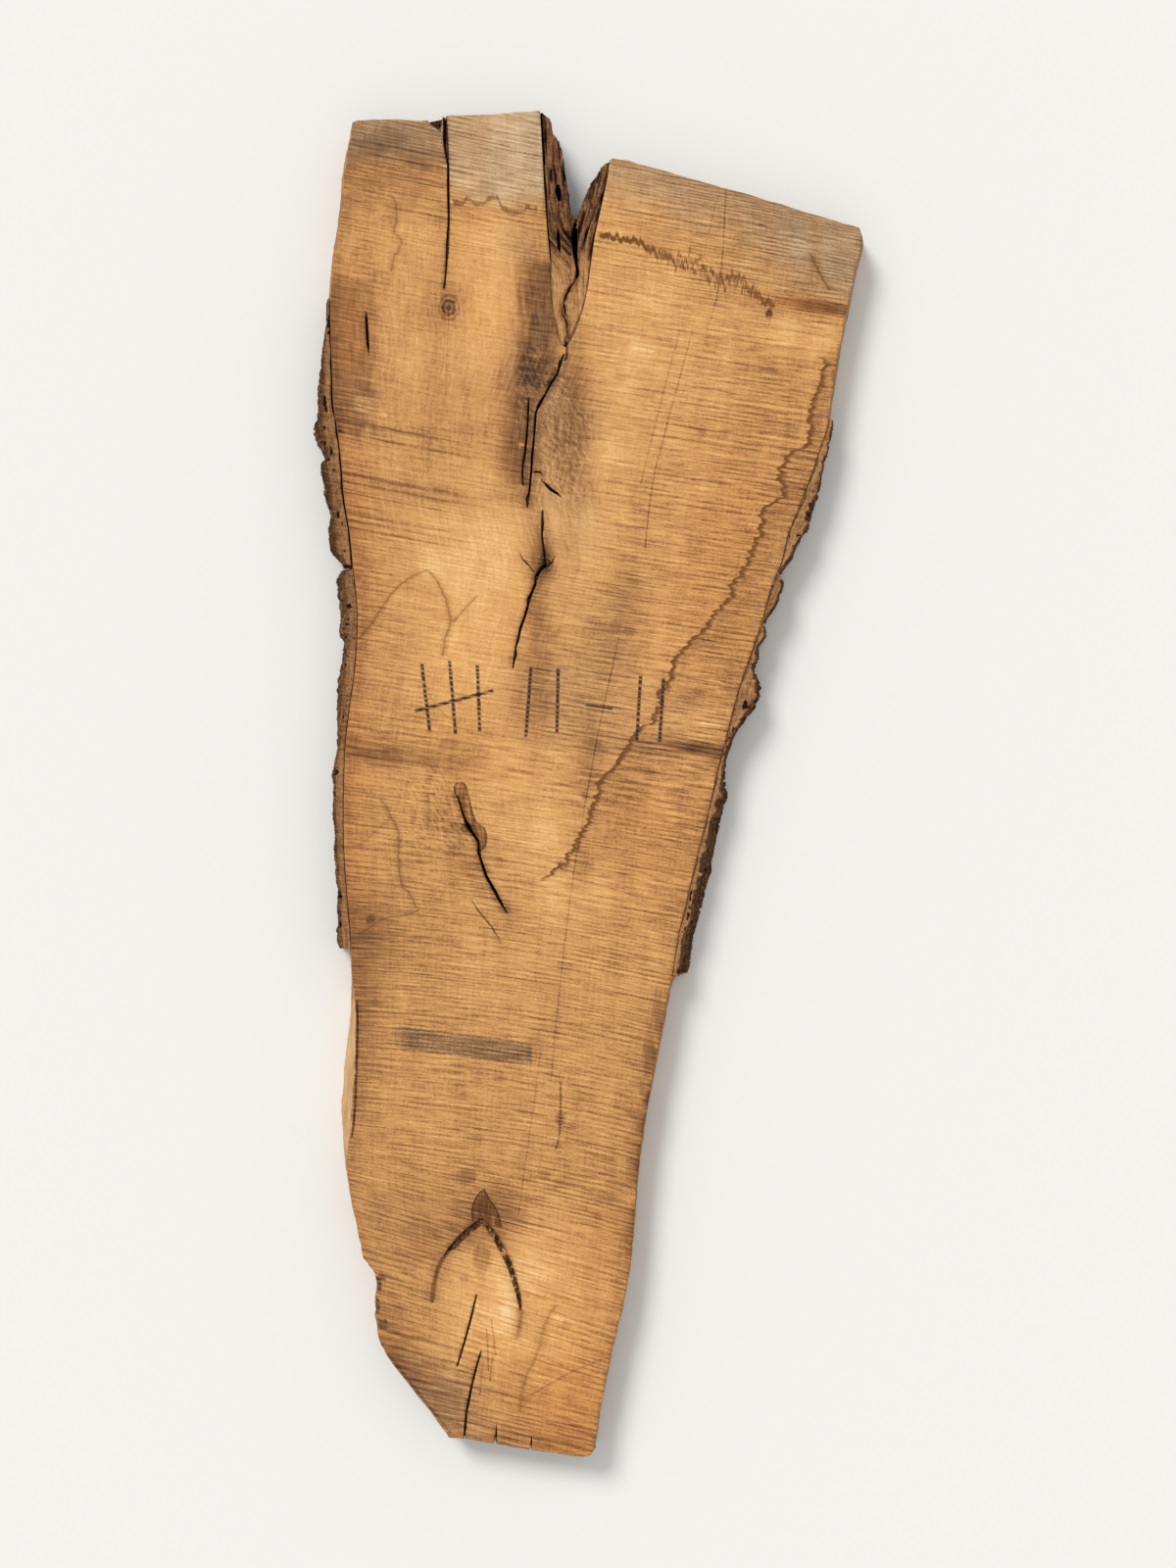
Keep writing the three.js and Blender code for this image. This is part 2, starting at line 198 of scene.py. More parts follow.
def copyWithFineWalls(node, longest, passes=3, grooveEdge=None):
    # the CAD node's mesh with its doubles merged and its side walls divided
    bm = bmesh.new()
    bm.from_mesh(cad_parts[node].data)
    bmesh.ops.remove_doubles(bm, verts=bm.verts, dist=1e-7)

    def standing(face):
        return abs(face.normal.z) < wallRise

    def inGroove(face):
        height = face.calc_center_median().z / mm
        return abs(face.normal.z) > wallRise and abs(height - slab["grooveFloor"]) < 2

    def longEdges(limit, chosen):
        return [e for e in bm.edges if e.calc_length() > limit * mm and any(map(chosen, e.link_faces))]

    for _ in range(passes):
        bm.normal_update()
        long = longEdges(longest, standing)
        if grooveEdge:
            long = list(dict.fromkeys(long + longEdges(grooveEdge, inGroove)))
        if not long:
            break
        bmesh.ops.subdivide_edges(bm, edges=long, cuts=1)
        bmesh.ops.triangulate(bm, faces=[f for f in bm.faces if len(f.verts) > 3])
    return meshFrom(bm, node)


def wallNormals(mesh):
    # the sideways direction out of the walls at each point, zero where there is no wall
    normals, _ = faceArrays(mesh)
    areas = np.empty(len(mesh.polygons))
    mesh.polygons.foreach_get("area", areas)
    corners = np.empty(len(mesh.loops), np.int64)
    mesh.loops.foreach_get("vertex_index", corners)
    owners = np.repeat(np.arange(len(mesh.polygons)), [len(p.vertices) for p in mesh.polygons])
    weighted = normals * (areas * (np.abs(normals[:, 2]) < wallRise))[:, None]
    total = np.zeros((len(mesh.vertices), 3))
    np.add.at(total, corners, weighted[owners])
    total[:, 2] = 0
    length = np.linalg.norm(total, axis=1)
    return total / np.maximum(length, 1e-12)[:, None]


def roughBlock(across, rows, placeOf, closeAt):
    # a closed block with one modelled face: a grid over the columns and rows, its rim drawn to closeAt
    bm = bmesh.new()
    bmesh.ops.create_grid(bm, x_segments=len(across) - 1, y_segments=len(rows) - 1, size=0.5)
    grid = np.array([v.co[:2] for v in bm.verts])
    column = np.rint((grid[:, 0] + 0.5) * (len(across) - 1)).astype(int)
    row = np.rint((grid[:, 1] + 0.5) * (len(rows) - 1)).astype(int)
    for vert, place in zip(bm.verts, placeOf(across[column], rows[row], row) * mm):
        vert.co = place
    rim = bmesh.ops.extrude_edge_only(bm, edges=[e for e in bm.edges if e.is_boundary])
    for part in rim["geom"]:
        if isinstance(part, bmesh.types.BMVert):
            part.co.z = closeAt * mm
    bmesh.ops.edgeloop_fill(bm, edges=[e for e in bm.edges if e.is_boundary])
    bmesh.ops.triangulate(bm, faces=bm.faces)
    bmesh.ops.recalc_face_normals(bm, faces=bm.faces)
    return newPiece("block", meshFrom(bm, "block"))


# The edges of the wood, measured on the CAD node's upper face

edgeTrace = {
    "outermost": 985,  # the edges are read up to this place at either end
    "every": 10.0,
    "band": 13,
    "leftFrom": -740,  # the felling cut takes the left edge below this
    "rightTo": 805,  # the right limb's slanted end takes the right edge above this
    "fork": -30,  # the fork opens on both sides of this x, between these places
    "forkFrom": 660,
    "forkTo": 920,
}
woodPoints = pointsOf(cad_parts["wood"].data)
rimPoints = woodPoints[woodPoints[:, 2] > slab["top"] - 0.01]
edgePlaces = np.arange(-edgeTrace["outermost"], edgeTrace["outermost"] + 1, edgeTrace["every"])
edgeBands = [rimPoints[np.abs(rimPoints[:, 1] - y) < edgeTrace["band"]][:, 0] for y in edgePlaces]
leftTrack = [(y, b.min()) for y, b in zip(edgePlaces, edgeBands) if len(b)]
rightTrack = [(y, b.max()) for y, b in zip(edgePlaces, edgeBands) if len(b)]
forkLeftTrack, forkRightTrack = [], []
for y, b in zip(edgePlaces, edgeBands):
    if edgeTrace["forkFrom"] < y < edgeTrace["forkTo"]:
        forkLeftTrack.append((y, b[b < edgeTrace["fork"]].max()))
        forkRightTrack.append((y, b[b > edgeTrace["fork"]].min()))


def leftEdge(y):
    return follow([p for p in leftTrack if p[0] > edgeTrace["leftFrom"]], y)


def rightEdge(y):
    return follow([p for p in rightTrack if p[0] < edgeTrace["rightTo"]], y)


def toEdge(x, y):
    return np.minimum(np.abs(x - leftEdge(y)), np.abs(x - rightEdge(y)))


def beyondEdge(x, y, side):
    # how far out of the wood a point lies, on the left for a side of -1 and on the right for 1
    return (x - (leftEdge(y) if side < 0 else rightEdge(y))) * side


def woodTree():
    # the CAD node's own surface, to find the nearest wood
    faces = [p.vertices[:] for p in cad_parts["wood"].data.polygons]
    return BVHTree.FromPolygons(woodPoints.tolist(), faces)


# The middle of the tree, as (y, x)
heartLine = [
    (990, -40), (640, -38), (560, -72), (420, -90), (330, -66), (170, -108), (-20, -150),
    (-200, -125), (-400, -140), (-640, -155), (-800, -175), (-990, -185),
]


# Where bark covers the edge of the wood, as (side, from, to)
barkedSpans = []
for name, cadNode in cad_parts.items():
    if name.startswith(("bark_left", "bark_right")):
        along = pointsOf(cadNode.data)[:, 1]
        barkedSpans.append((-1 if "left" in name else 1, along.min(), along.max()))


def underBark(x, y):
    covered = [(x * side > 0) & (y > low) & (y < high) for side, low, high in barkedSpans]
    return np.any(covered, axis=0)


grain = {  # the x that the heart and both edges would have in a straight tree
    "heart": -130,
    "left": -355,
    "right": 150,
    "follows": 0.8,  # how far the grain follows each edge
    "narrowest": 30,
}


def grainAcross(x, y):
    # straightens the grain, which follows both edges and the heart
    heart = follow(heartLine, y)
    left, right = leftEdge(y), rightEdge(y)
    toLeft = np.clip((heart - x) / np.maximum(heart - left, grain["narrowest"]), 0, 1)
    toRight = np.clip((x - heart) / np.maximum(right - heart, grain["narrowest"]), 0, 1)
    shift = (heart - grain["heart"]) * (1 - toLeft) * (1 - toRight)
    shift = shift + toLeft * grain["follows"] * (left - grain["left"])
    return x - (shift + toRight * grain["follows"] * (right - grain["right"]))


# The saw marks: how far along the slab a point lies when measured across the marks

markPlaces = np.arange(-1250, 1251, 1.0)  # every millimetre, past both ends of the slab
markSpacing = sawMarks["spacing"] * (
    1 + sawMarks["unevenness"] * softNoise(markPlaces / 23, 0, 0, 3)
)
markCount = np.cumsum(1 / markSpacing)


def phaseAt(place):
    return float(np.interp(place, markPlaces, markCount))


def markSlope(place, x):
    places, falls, bends = zip(*sawMarks["slope"])
    return np.interp(place, places, falls) + x * np.interp(place, places, bends)


def markStrength(x, y):
    return np.clip(1 + softSpots(sawMarks["strength"], x, y, 19), 0.12, 1.7)


def alongMarks(x, y):
    place = y.copy()
    for _ in range(6):
        place = y + x * markSlope(place, x) + markWander(place, x)
    return place


def markWander(place, x):
    return 2.2 * softNoise(x / 260, place / 300, 0, 12)


def markPhase(x, y):
    return np.interp(alongMarks(x, y), markPlaces, markCount)


def markRows():
    # three rows to each mark: both sides of its flat crest, and the trough beside it
    spare = 60
    counts = np.arange(math.ceil(markCount[spare]), math.floor(markCount[-spare]))
    phases = (counts[:, None] + np.array([-0.2, 0.2, 0.5])).ravel()
    return np.interp(phases, markCount, markPlaces)


def sawnHeight(x, place, row, seed):
    mark, isTrough = row // 3, row % 3 == 2
    tooth = 0.5 + 0.5 * softNoise(mark / 1.3, 0, 0, seed)
    deep = sawMarks["depth"] * (0.35 + tooth)
    deep = deep + sawMarks["depthVaries"] * softNoise(x / 42, mark / 1.2, 0, seed + 1)
    fuzz = sawMarks["fuzz"] * (1 + softNoise(x / 13, place / 6, 0, seed + 2))
    return isTrough * np.maximum(deep, 0.03) + fuzz


blockFloor = -20  # how far down the top blocks go
blockRoof = 90  # and how far up the bottom blocks go


def sawnTopBlock(left, right, low, high, step, carve=None):
    rows = markRows()
    first = 3 * math.ceil(np.searchsorted(rows, low) / 3)
    rows = rows[first:np.searchsorted(rows, high)]
    across = np.linspace(left, right, round((right - left) / step) + 1)

    def placeOf(x, place, row):
        y = place - x * markSlope(place, x) - markWander(place, x)
        down = sawnHeight(x, place, row, 21) * markStrength(x, y)
        if carve:
            down = down + carve(x, y)
        return np.stack([x, y, slab["top"] - slab["crestsBelowTop"] - down], 1)

    return roughBlock(across, rows, placeOf, blockFloor)


def sawnBottomBlock(left, right, low, high, stepX=6, stepY=6):
    rows = np.linspace(low, high, round((high - low) / stepY) + 1)
    across = np.linspace(left, right, round((right - left) / stepX) + 1)

    def placeOf(x, y, row):
        ripple = underside["ripple"] * (row % 2) * (0.6 + 0.4 * softNoise(x / 60, y / 30, 0, 31))
        return np.stack([x, y + underside["falls"] * x, underside["up"] + ripple], 1)

    return roughBlock(across, rows, placeOf, blockRoof)


# Materials

def tone(red, green, blue):
    # a screen colour, 0 to 255, as the linear colour that the shader takes
    parts = [v / 255 for v in (red, green, blue)]
    return (*[v / 12.92 if v <= 0.04045 else ((v + 0.055) / 1.055) ** 2.4 for v in parts], 1)


class Wire:
    # a socket of a finish; arithmetic on it adds the nodes
    def __init__(self, finish, socket):
        self.finish = finish
        self.socket = socket

    def math(self, operation, *values):
        sockets = dict(enumerate(values))
        return self.finish.node("ShaderNodeMath", {"operation": operation}, sockets)

    def __add__(self, other):
        return self.math("ADD", self, other)

    def __sub__(self, other):
        return self.math("SUBTRACT", self, other)

    def __mul__(self, other):
        return self.math("MULTIPLY", self, other)

    def __truediv__(self, other):
        return self.math("DIVIDE", self, other)

    def __rsub__(self, other):
        return self.math("SUBTRACT", other, self)

    def __abs__(self):
        return self.math("ABSOLUTE", self)

    __radd__ = __add__
    __rmul__ = __mul__

    def atLeast(self, other):
        return self.math("MAXIMUM", self, other)

    def root(self):
        return self.math("SQRT", self)

    def wave(self):
        return self.math("COSINE", self * (2 * math.pi))

    def step(self, low, high):
        # 0 below low and 1 above high, or the other way round if low is the higher
        return self.finish.node(
            "ShaderNodeMapRange",
            {"interpolation_type": "SMOOTHSTEP"},
            {0: self, 1: min(low, high), 2: max(low, high), 3: float(low > high), 4: float(low < high)},
        )

    def curve(self, points, handles="AUTO"):
        # a value that follows (place, value) points, and 1 between the first place and the last
        places, values = zip(*sorted(points))
        bottom, span = min(values), max(max(values) - min(values), 1e-6)
        reach = places[-1] - places[0]
        stops = [((p - places[0]) / reach, (v - bottom) / span) for p, v in zip(places, values)]
        share = (self - places[0]) / reach
        drawn = self.finish.node(
            "ShaderNodeFloatCurve", {"points": stops, "handles": handles}, {1: share}
        )
        return drawn * span + bottom, share.step(-0.01, 0.012) * share.step(1.01, 0.988)


class Finish:
    # a look holds the roughness, the specular level, the tones from dark to light, the relief as
    # (strength, depth), and the weight of each pattern in the level that picks the tone
    def __init__(self, name, look):
        self.look = look
        self.material = bpy.data.materials.new(name)
        self.material.use_nodes = True
        self.tree = self.material.node_tree
        self.shader = self.tree.nodes["Principled BSDF"]
        self.shader.inputs["Roughness"].default_value = look["roughness"]
        self.shader.inputs["Specular IOR Level"].default_value = look["specular"]

    def node(self, kind, settings=None, sockets=None, output=0):
        made = self.tree.nodes.new(kind)
        for key, value in (settings or {}).items():
            if key == "stops":
                self.setStops(made.color_ramp, value)
            elif key == "points":
                self.setPoints(made.mapping, value, settings["handles"])
            elif key != "handles":
                setattr(made, key, value)
        for key, value in (sockets or {}).items():
            self.plug(made.inputs[key], value)
        return Wire(self, made.outputs[output])

    def plug(self, socket, value):
        if isinstance(value, Wire):
            self.tree.links.new(value.socket, socket)
        else:
            socket.default_value = value

    def setStops(self, ramp, stops):
        while len(ramp.elements) < len(stops):
            ramp.elements.new(0.5)
        for element, (place, colour) in zip(ramp.elements, stops):
            element.position = place
            element.color = colour

    def setPoints(self, mapping, points, handles):
        drawn = mapping.curves[0].points
        while len(drawn) < len(points):
            drawn.new(0.5, 0.5)
        for point, place in zip(drawn, points):
            point.location = place
            point.handle_type = handles
        mapping.update()

    def place(self):
        # object coordinates in millimetres
        coordinates = self.node("ShaderNodeTexCoord", output=3)
        return [wire * 1000 for wire in self.split(coordinates)]

    def split(self, vector):
        first = self.node("ShaderNodeSeparateXYZ", sockets={0: vector})
        return [Wire(self, out) for out in first.socket.node.outputs]

    def field(self, name):
        # a vector attribute of the mesh, as three values
        return self.split(self.node("ShaderNodeAttribute", {"attribute_name": name}, output=1))

    def noise(self, x, y, z=0.0, detail=2.0, roughness=0.55):
        # between about -1 and 1, with features about one unit across
        vector = self.node("ShaderNodeCombineXYZ", sockets={0: x, 1: y, 2: z})
        value = self.node(
            "ShaderNodeTexNoise", None,
            {"Vector": vector, "Scale": 1.0, "Detail": detail, "Roughness": roughness},
        )
        return (value - 0.5) * 3

    def ramp(self, value, stops):
        colours = [(place, tone(*colour)) for place, colour in stops]
        return self.node("ShaderNodeValToRGB", {"stops": colours}, {0: value})

    def mix(self, share, first, second, blend="MIX"):
        settings = {"data_type": "RGBA", "blend_type": blend, "clamp_factor": True}
        return self.node("ShaderNodeMix", settings, {0: share, 6: first, 7: second}, output=2)

    def weigh(self, **patterns):
        # the middle level, with each pattern added by its weight in the look
        level = self.look["level"]
        for name, pattern in patterns.items():
            level = level + self.look[name] * pattern
        return level

    def finishWith(self, colour, height=None):
        self.plug(self.shader.inputs["Base Color"], colour)
        if height:
            strength, depth = self.look["relief"]
            sockets = {"Strength": strength, "Distance": depth * mm, "Height": height}
            self.plug(self.shader.inputs["Normal"], self.node("ShaderNodeBump", None, sockets))
        return self.material

    def toned(self, level, height):
        return self.finishWith(self.ramp(level, self.look["tones"]), height)


# Where the face is lighter, darker, weathered grey, orange or curly in its grain, as
# (x, y, half width, half height, turn, amount)
faceTones = {
    "light": [
        (-260, 795, 80, 75, 0, 0.16), (-140, 720, 42, 115, 0, 0.4), (-155, 305, 70, 115, 0, 0.5),
        (-235, 345, 62, 70, 0, 0.16), (-205, 150, 65, 80, 0, 0.16), (-115, 0, 55, 85, 0, 0.3),
        (45, 680, 52, 140, 0, 0.28), (145, 625, 80, 115, 0, 0.16), (40, 492, 36, 24, 0, 0.3),
        (0, 345, 60, 85, 0, 0.16), (100, 145, 42, 72, 0, 0.18), (175, 96, 42, 16, 0, 0.34),
        (320, 668, 62, 22, -8, 0.42), (-265, 0, 38, 32, 0, 0.1), (-55, -130, 50, 90, 0, 0.28),
        (-215, -260, 85, 70, 0, 0.08), (-60, -785, 60, 88, 0, 0.36), (-140, -775, 52, 66, 0, 0.5),
        (15, -235, 70, 130, 0, 0.06), (-130, -480, 115, 58, 0, 0.06), (-72, -680, 58, 44, 0, 0.18),
        (100, 400, 110, 260, 0, 0.08), (-230, 640, 50, 60, 0, 0.12), (-215, 165, 50, 40, 0, 0.12),
        (-140, -300, 50, 50, 0, 0.12), (-45, 165, 40, 50, 0, 0.12),
    ],
    "dark": [
        (-112, 600, 24, 60, 0, 0.3), (178, 50, 42, 10, -6, 0.5), (90, 58, 50, 9, -4, 0.25),
        (-72, 610, 24, 150, 0, 0.34), (-18, 540, 24, 110, 0, 0.42), (-235, 590, 100, 60, 0, 0.03),
        (-108, 486, 20, 50, 0, 0.42), (-62, 330, 24, 26, 0, 0.4), (-74, 250, 16, 100, 0, 0.3),
        (-80, 138, 42, 60, 0, 0.2), (18, 144, 34, 100, 0, 0.12), (58, 232, 26, 70, 0, 0.16),
        (-320, 50, 70, 18, -10, 0.2), (-235, 36, 90, 14, -10, 0.16), (-290, -218, 58, 34, 0, 0.14),
        (-246, -915, 62, 42, 0, 0.34), (-298, -862, 36, 70, 0, 0.3), (-80, -970, 100, 22, 0, 0.2),
        (80, 478, 36, 86, 0, 0.06), (168, 521, 20, 20, 0, 0.16), (-210, 703, 30, 30, 0, 0.16),
        (-180, -85, 26, 55, 24, 0.2), (-150, -640, 46, 30, 0, 0.3), (345, 706, 42, 7, -8, 0.5),
        (-330, 925, 60, 60, 0, 0.2), (-240, 950, 60, 50, 0, 0.18), (-225, 660, 14, 120, 0, 0.08),
        (-235, -660, 50, 40, 0, 0.2), (-325, -300, 30, 60, 0, 0.14), (60, 300, 18, 40, 0, 0.12),
        (5, 30, 14, 50, 0, 0.16), (-10, -110, 12, 40, 0, 0.14),
        (-205, 765, 12, 60, 0, 0.16), (-330, -215, 30, 60, 0, 0.16), (-335, -390, 16, 80, 0, 0.12),
        (-185, 425, 90, 12, -7, 0.16), (-190, 855, 60, 22, 0, 0.12),
    ],
    "grey": [
        (-40, 470, 42, 120, 0, 0.22), (-72, 620, 30, 80, 0, 0.22), (120, 90, 50, 60, 0, 0.12),
        (-225, -925, 60, 50, 0, 0.4), (-335, 570, 22, 30, 0, 0.25), (-75, 140, 50, 60, 0, 0.16),
        (310, 770, 70, 60, -10, 0.2), (20, 150, 40, 110, 0, 0.12), (-110, 800, 24, 30, 0, 0.3),
    ],
    "orange": [
        (-150, 130, 70, 110, 0, 0.3), (-140, 760, 45, 90, 0, 0.3),
        (-60, -840, 75, 110, 0, 0.4), (-10, -930, 70, 60, 0, 0.45), (200, 330, 60, 210, -18, 0.3),
        (-345, 660, 26, 80, 0, 0.4), (30, -700, 50, 80, 0, 0.3), (100, -60, 60, 90, 0, 0.25),
        (330, 706, 60, 12, -8, 1.0), (-360, 350, 30, 200, 0, 0.5), (-350, -50, 20, 200, 0, 0.4),
    ],
    "swirl": [
        (-28, 500, 30, 85, 8, 1.0), (-225, -45, 46, 62, 20, 1.0), (-40, 200, 40, 120, 0, 0.3),
        (-80, 610, 26, 110, 0, 0.7),
    ],
}
# Darker fields with a straighter edge, as (left, right, low, high, softness, amount)
darkFields = [
    (-400, -316, 522, 750, 7, 0.26), (-104, -52, 590, 772, 5, 0.24), (-104, -30, 690, 790, 14, 0.1),
    (-330, -150, 545, 600, 26, 0.05), (-400, -150, 515, 530, 5, 0.12),
]


# The sawn ends of the limbs have weathered inwards
weathering = {
    "leftEnd": 992,
    "rightEnd": (36, 930),  # x, y of a point on it
    "reach": 62,  # how far in it goes, and how much further where it goes furthest
    "furtherReach": 70,
    "grey": (0.75, 0.6),  # on the left limb and on the right limb
    "light": 0.1,
    "dark": 0.1,
    "darkRim": (0.12, 12),  # how strong, and how far in
}
# The face is darker along its edges, more so on the lower right: how strong, and how far in
edgeDarkening = {"left": (0.2, 26), "right": (0.12, 22), "lowerRight": 0.4}
faceLevel = {"middle": 0.575, "light": 0.4, "mottle": 0.055, "broad": 0.05, "band": 0.04}


def fadeIn(distance, reach):
    return np.exp(-np.maximum(distance, 0) / reach)


def darkenFields(tones, x, y):
    for left, right, low, high, soft, amount in darkFields:
        ragged = soft * softNoise(x / 9, y / 26, 0, 45)
        inside = smoothStep(np.minimum(x - left, right - x) + ragged, -soft, soft)
        inside = inside * smoothStep(np.minimum(y - low, high - y) + ragged, -soft, soft)
        tones["dark"] += amount * inside


def weatherEnds(tones, x, y):
    middle, place = weathering["rightEnd"]
    toRightEnd = place - slab["rightEndFalls"] * (x - middle) - y + 12 * softNoise(x / 50, y / 50, 0, 51)
    toLeftEnd = weathering["leftEnd"] - y + 16 * softNoise(x / 40, y / 40, 0, 52)
    reach = weathering["reach"] + weathering["furtherReach"] * smoothStep(x, 220, 400)
    rightEnd = smoothStep(reach - toRightEnd, -40, 50) * (x > 0)
    reach = weathering["reach"] + weathering["furtherReach"] * smoothStep(x, -225, -195)
    leftEnd = smoothStep(reach - toLeftEnd, -16, 30) * (x < 0)
    tones["grey"] += weathering["grey"][0] * leftEnd + weathering["grey"][1] * rightEnd
    # the left limb is lightest on the right of its split
    tones["light"] += leftEnd * (weathering["light"] + 0.16 * smoothStep(x, -215, -195))
    tones["light"] += weathering["light"] * rightEnd
    strength, rim = weathering["darkRim"]
    tones["dark"] += weathering["dark"] * rightEnd + strength * fadeIn(toRightEnd, rim) * (x > 30)


def darkenTowardEdges(tones, x, y):
    strength, reach = edgeDarkening["left"]
    tones["dark"] += strength * fadeIn(x - leftEdge(y), reach) * smoothStep(y, -900, -700)
    smudge = np.clip(0.6 + layeredNoise(x / 16, y / 44, 0, 53), 0, 2)
    strength, reach = edgeDarkening["right"]
    strength += edgeDarkening["lowerRight"] * smoothStep(-y, 240, 380) * smoothStep(y, -760, -600)
    tones["dark"] += strength * fadeIn(rightEdge(y) - x, reach) * smudge


def faceFields(mesh):
    # what the finishes of the face read at each point
    x, y, _ = pointsOf(mesh).T
    phase, grainX = markPhase(x, y), grainAcross(x, y)
    mottle = layeredNoise(x / 26, y / 36, 0.3, 42, 4)
    broad = layeredNoise(grainX / 15, y / 260, 1.7, 43, 3)
    band = layeredNoise(x / 150, phase / 1.3, 7.7, 44, 4)
    tones = {name: softSpots(spots, x, y, 41) for name, spots in faceTones.items()}
    darkenFields(tones, x, y)
    weatherEnds(tones, x, y)
    darkenTowardEdges(tones, x, y)
    level = faceLevel["middle"] + faceLevel["light"] * tones["light"] * (1 + 0.3 * mottle)
    for name, pattern in (("mottle", mottle), ("broad", broad), ("band", band)):
        level = level + faceLevel[name] * pattern
    dark, grey = tones["dark"] * (1 + 0.4 * mottle), tones["grey"] * (1 + 0.5 * broad)
    writeField(mesh, "faceTones", level, dark, grey)
    writeField(mesh, "faceStains", tones["orange"], tones["swirl"], band)
    writeField(mesh, "sawMarks", phase, grainX, markStrength(x, y))


def writeField(mesh, name, first, second, third):
    values = np.stack([first, second, third], 1).astype(np.float32)
    mesh.attributes.new(name, "FLOAT_VECTOR", "POINT").data.foreach_set("vector", values.ravel())


def dress(piece, node, finishes, kinds, sharpest):
    # gives a piece its finishes, by a number for each face, hangs it on the root body and hides its CAD
    # node
    mesh = piece.data
    mesh.materials.clear()
    for finish in finishes:
        mesh.materials.append(finish)
    mesh.polygons.foreach_set("material_index", kinds.astype(np.int32))
    mesh.polygons.foreach_set("use_smooth", np.ones(len(mesh.polygons), bool))
    mesh.set_sharp_from_angle(angle=math.radians(sharpest))
    mesh.update()
    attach(piece, "root")
    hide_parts(node)
    print(piece.name, len(mesh.polygons), "faces")


# Lines on the face. Those that run up the slab have (y, x) points, those across it (x, y) points
waterLine = [
    (630, 348), (581, 338), (547, 326), (501, 320), (491, 299), (468, 284), (427, 287), (411, 261),
    (382, 255), (333, 235), (305, 219), (268, 200), (254, 187), (220, 162), (189, 130), (160, 119),
    (143, 113), (133, 103), (114, 104), (94, 93), (78, 70), (44, 51), (25, 38), (7, 19), (-21, 9),
    (-59, -4), (-101, -28), (-124, -46), (-141, -68),
]
limbLine = [
    (-200, 861), (-188, 856), (-177, 865), (-165, 855), (-149, 862), (-139, 865), (-128, 852),
    (-116, 845), (-102, 843), (-90, 850), (-75, 845),
]
toothedLine = [
    (17, 813), (57, 805), (78, 800), (96, 788), (113, 782), (130, 771), (149, 774), (170, 762),
    (193, 745), (216, 747), (238, 734), (255, 720), (276, 707),
]
brownLines = [  # points, width, strength
    ([(872, -297), (837, -283), (819, -287), (804, -277), (779, -287), (758, -291)], 2.6, 0.5),
    ([(317, -238), (304, -265), (286, -287), (263, -303), (236, -322), (214, -339)], 2.8, 0.6),
    ([(317, -238), (292, -219), (259, -207), (239, -204), (212, -212), (189, -215)], 2.8, 0.6),
    ([(279, -164), (254, -187), (239, -200)], 2.4, 0.5),
    ([(-21, -307), (-49, -291), (-72, -281), (-109, -280), (-147, -276), (-163, -264), (-183, -254)],
     2.6, 0.55),
    ([(-49, -292), (-72, -316), (-92, -340)], 2.2, 0.35),
    ([(786, 329), (760, 341), (730, 358)], 4.0, 0.7),
    ([(-769, -44), (-800, -64), (-834, -72), (-885, -94), (-929, -102)], 4.5, 0.42),
    ([(-640, -157), (-665, -136), (-698, -117), (-749, -103), (-782, -99), (-822, -106)], 6.0, 0.55),
    ([(-640, -162), (-658, -175), (-688, -202), (-712, -220), (-764, -230)], 6.0, 0.5),
]
lyingLines = [  # the brown lines that run across
    ([(-339, -221), (-322, -212), (-299, -198), (-276, -195), (-249, -186)], 2.8, 0.55),
    ([(-67, -585), (-30, -592), (10, -603)], 2.6, 0.5),
    ([(-97, -911), (-60, -890), (-20, -868), (30, -849)], 3.4, 0.4),
    ([(-240, 148), (-225, 116), (-205, 98)], 3.0, 0.35),
]
grainAndCrackShadeLines = [  # points, width, strength: dark lines in the grain, and a painted shade line where a crack runs on
    ([(878, 204), (695, 184), (672, 155)], 1.8, 0.5),
    ([(872, 193), (798, 175), (724, 162)], 1.5, 0.3),
    ([(672, 155), (601, 136), (518, 113), (444, 96), (347, 84)], 2.0, 0.6),
    ([(672, 136), (550, 104), (444, 78)], 1.7, 0.45),
    ([(217, 46), (-7, 0), (-102, -14)], 1.7, 0.45),
    ([(-73, -12), (-189, -29), (-305, -42), (-397, -51), (-436, -54)], 1.8, 0.5),
    ([(-440, -41), (-497, -41), (-542, -49)], 3.0, 0.7),
    ([(-397, -70), (-523, -87), (-639, -103)], 1.6, 0.35),
    ([(260, -178), (-40, -166)], 1.5, 0.2),
    ([(560, -212), (700, -206)], 1.6, 0.3),
    ([(-694, -207), (-712, -220), (-740, -228), (-768, -231)], 5.5, 0.9),
    ([(-770, -101), (-812, -104)], 6.0, 0.3),
    # painted shade: a dark line where the seam's crack runs on from the fork's tip
    ([(662, -33), (640, -31), (626, -37)], 3.0, 1.2),
    ([(-322, -342), (-349, -341), (-428, -343), (-480, -345), (-524, -350)], 2.9, 1.1),
    ([(-842, -296), (-878, -268), (-923, -233), (-962, -202)], 3.0, 0.4),
    ([(-792, -143), (-846, -136)], 2.0, 0.7),
    ([(-806, -150), (-868, -147)], 2.0, 0.6),
    ([(-826, -139), (-884, -145)], 2.2, 0.55),
    ([(-850, -155), (-905, -160)], 2.0, 0.4),
]
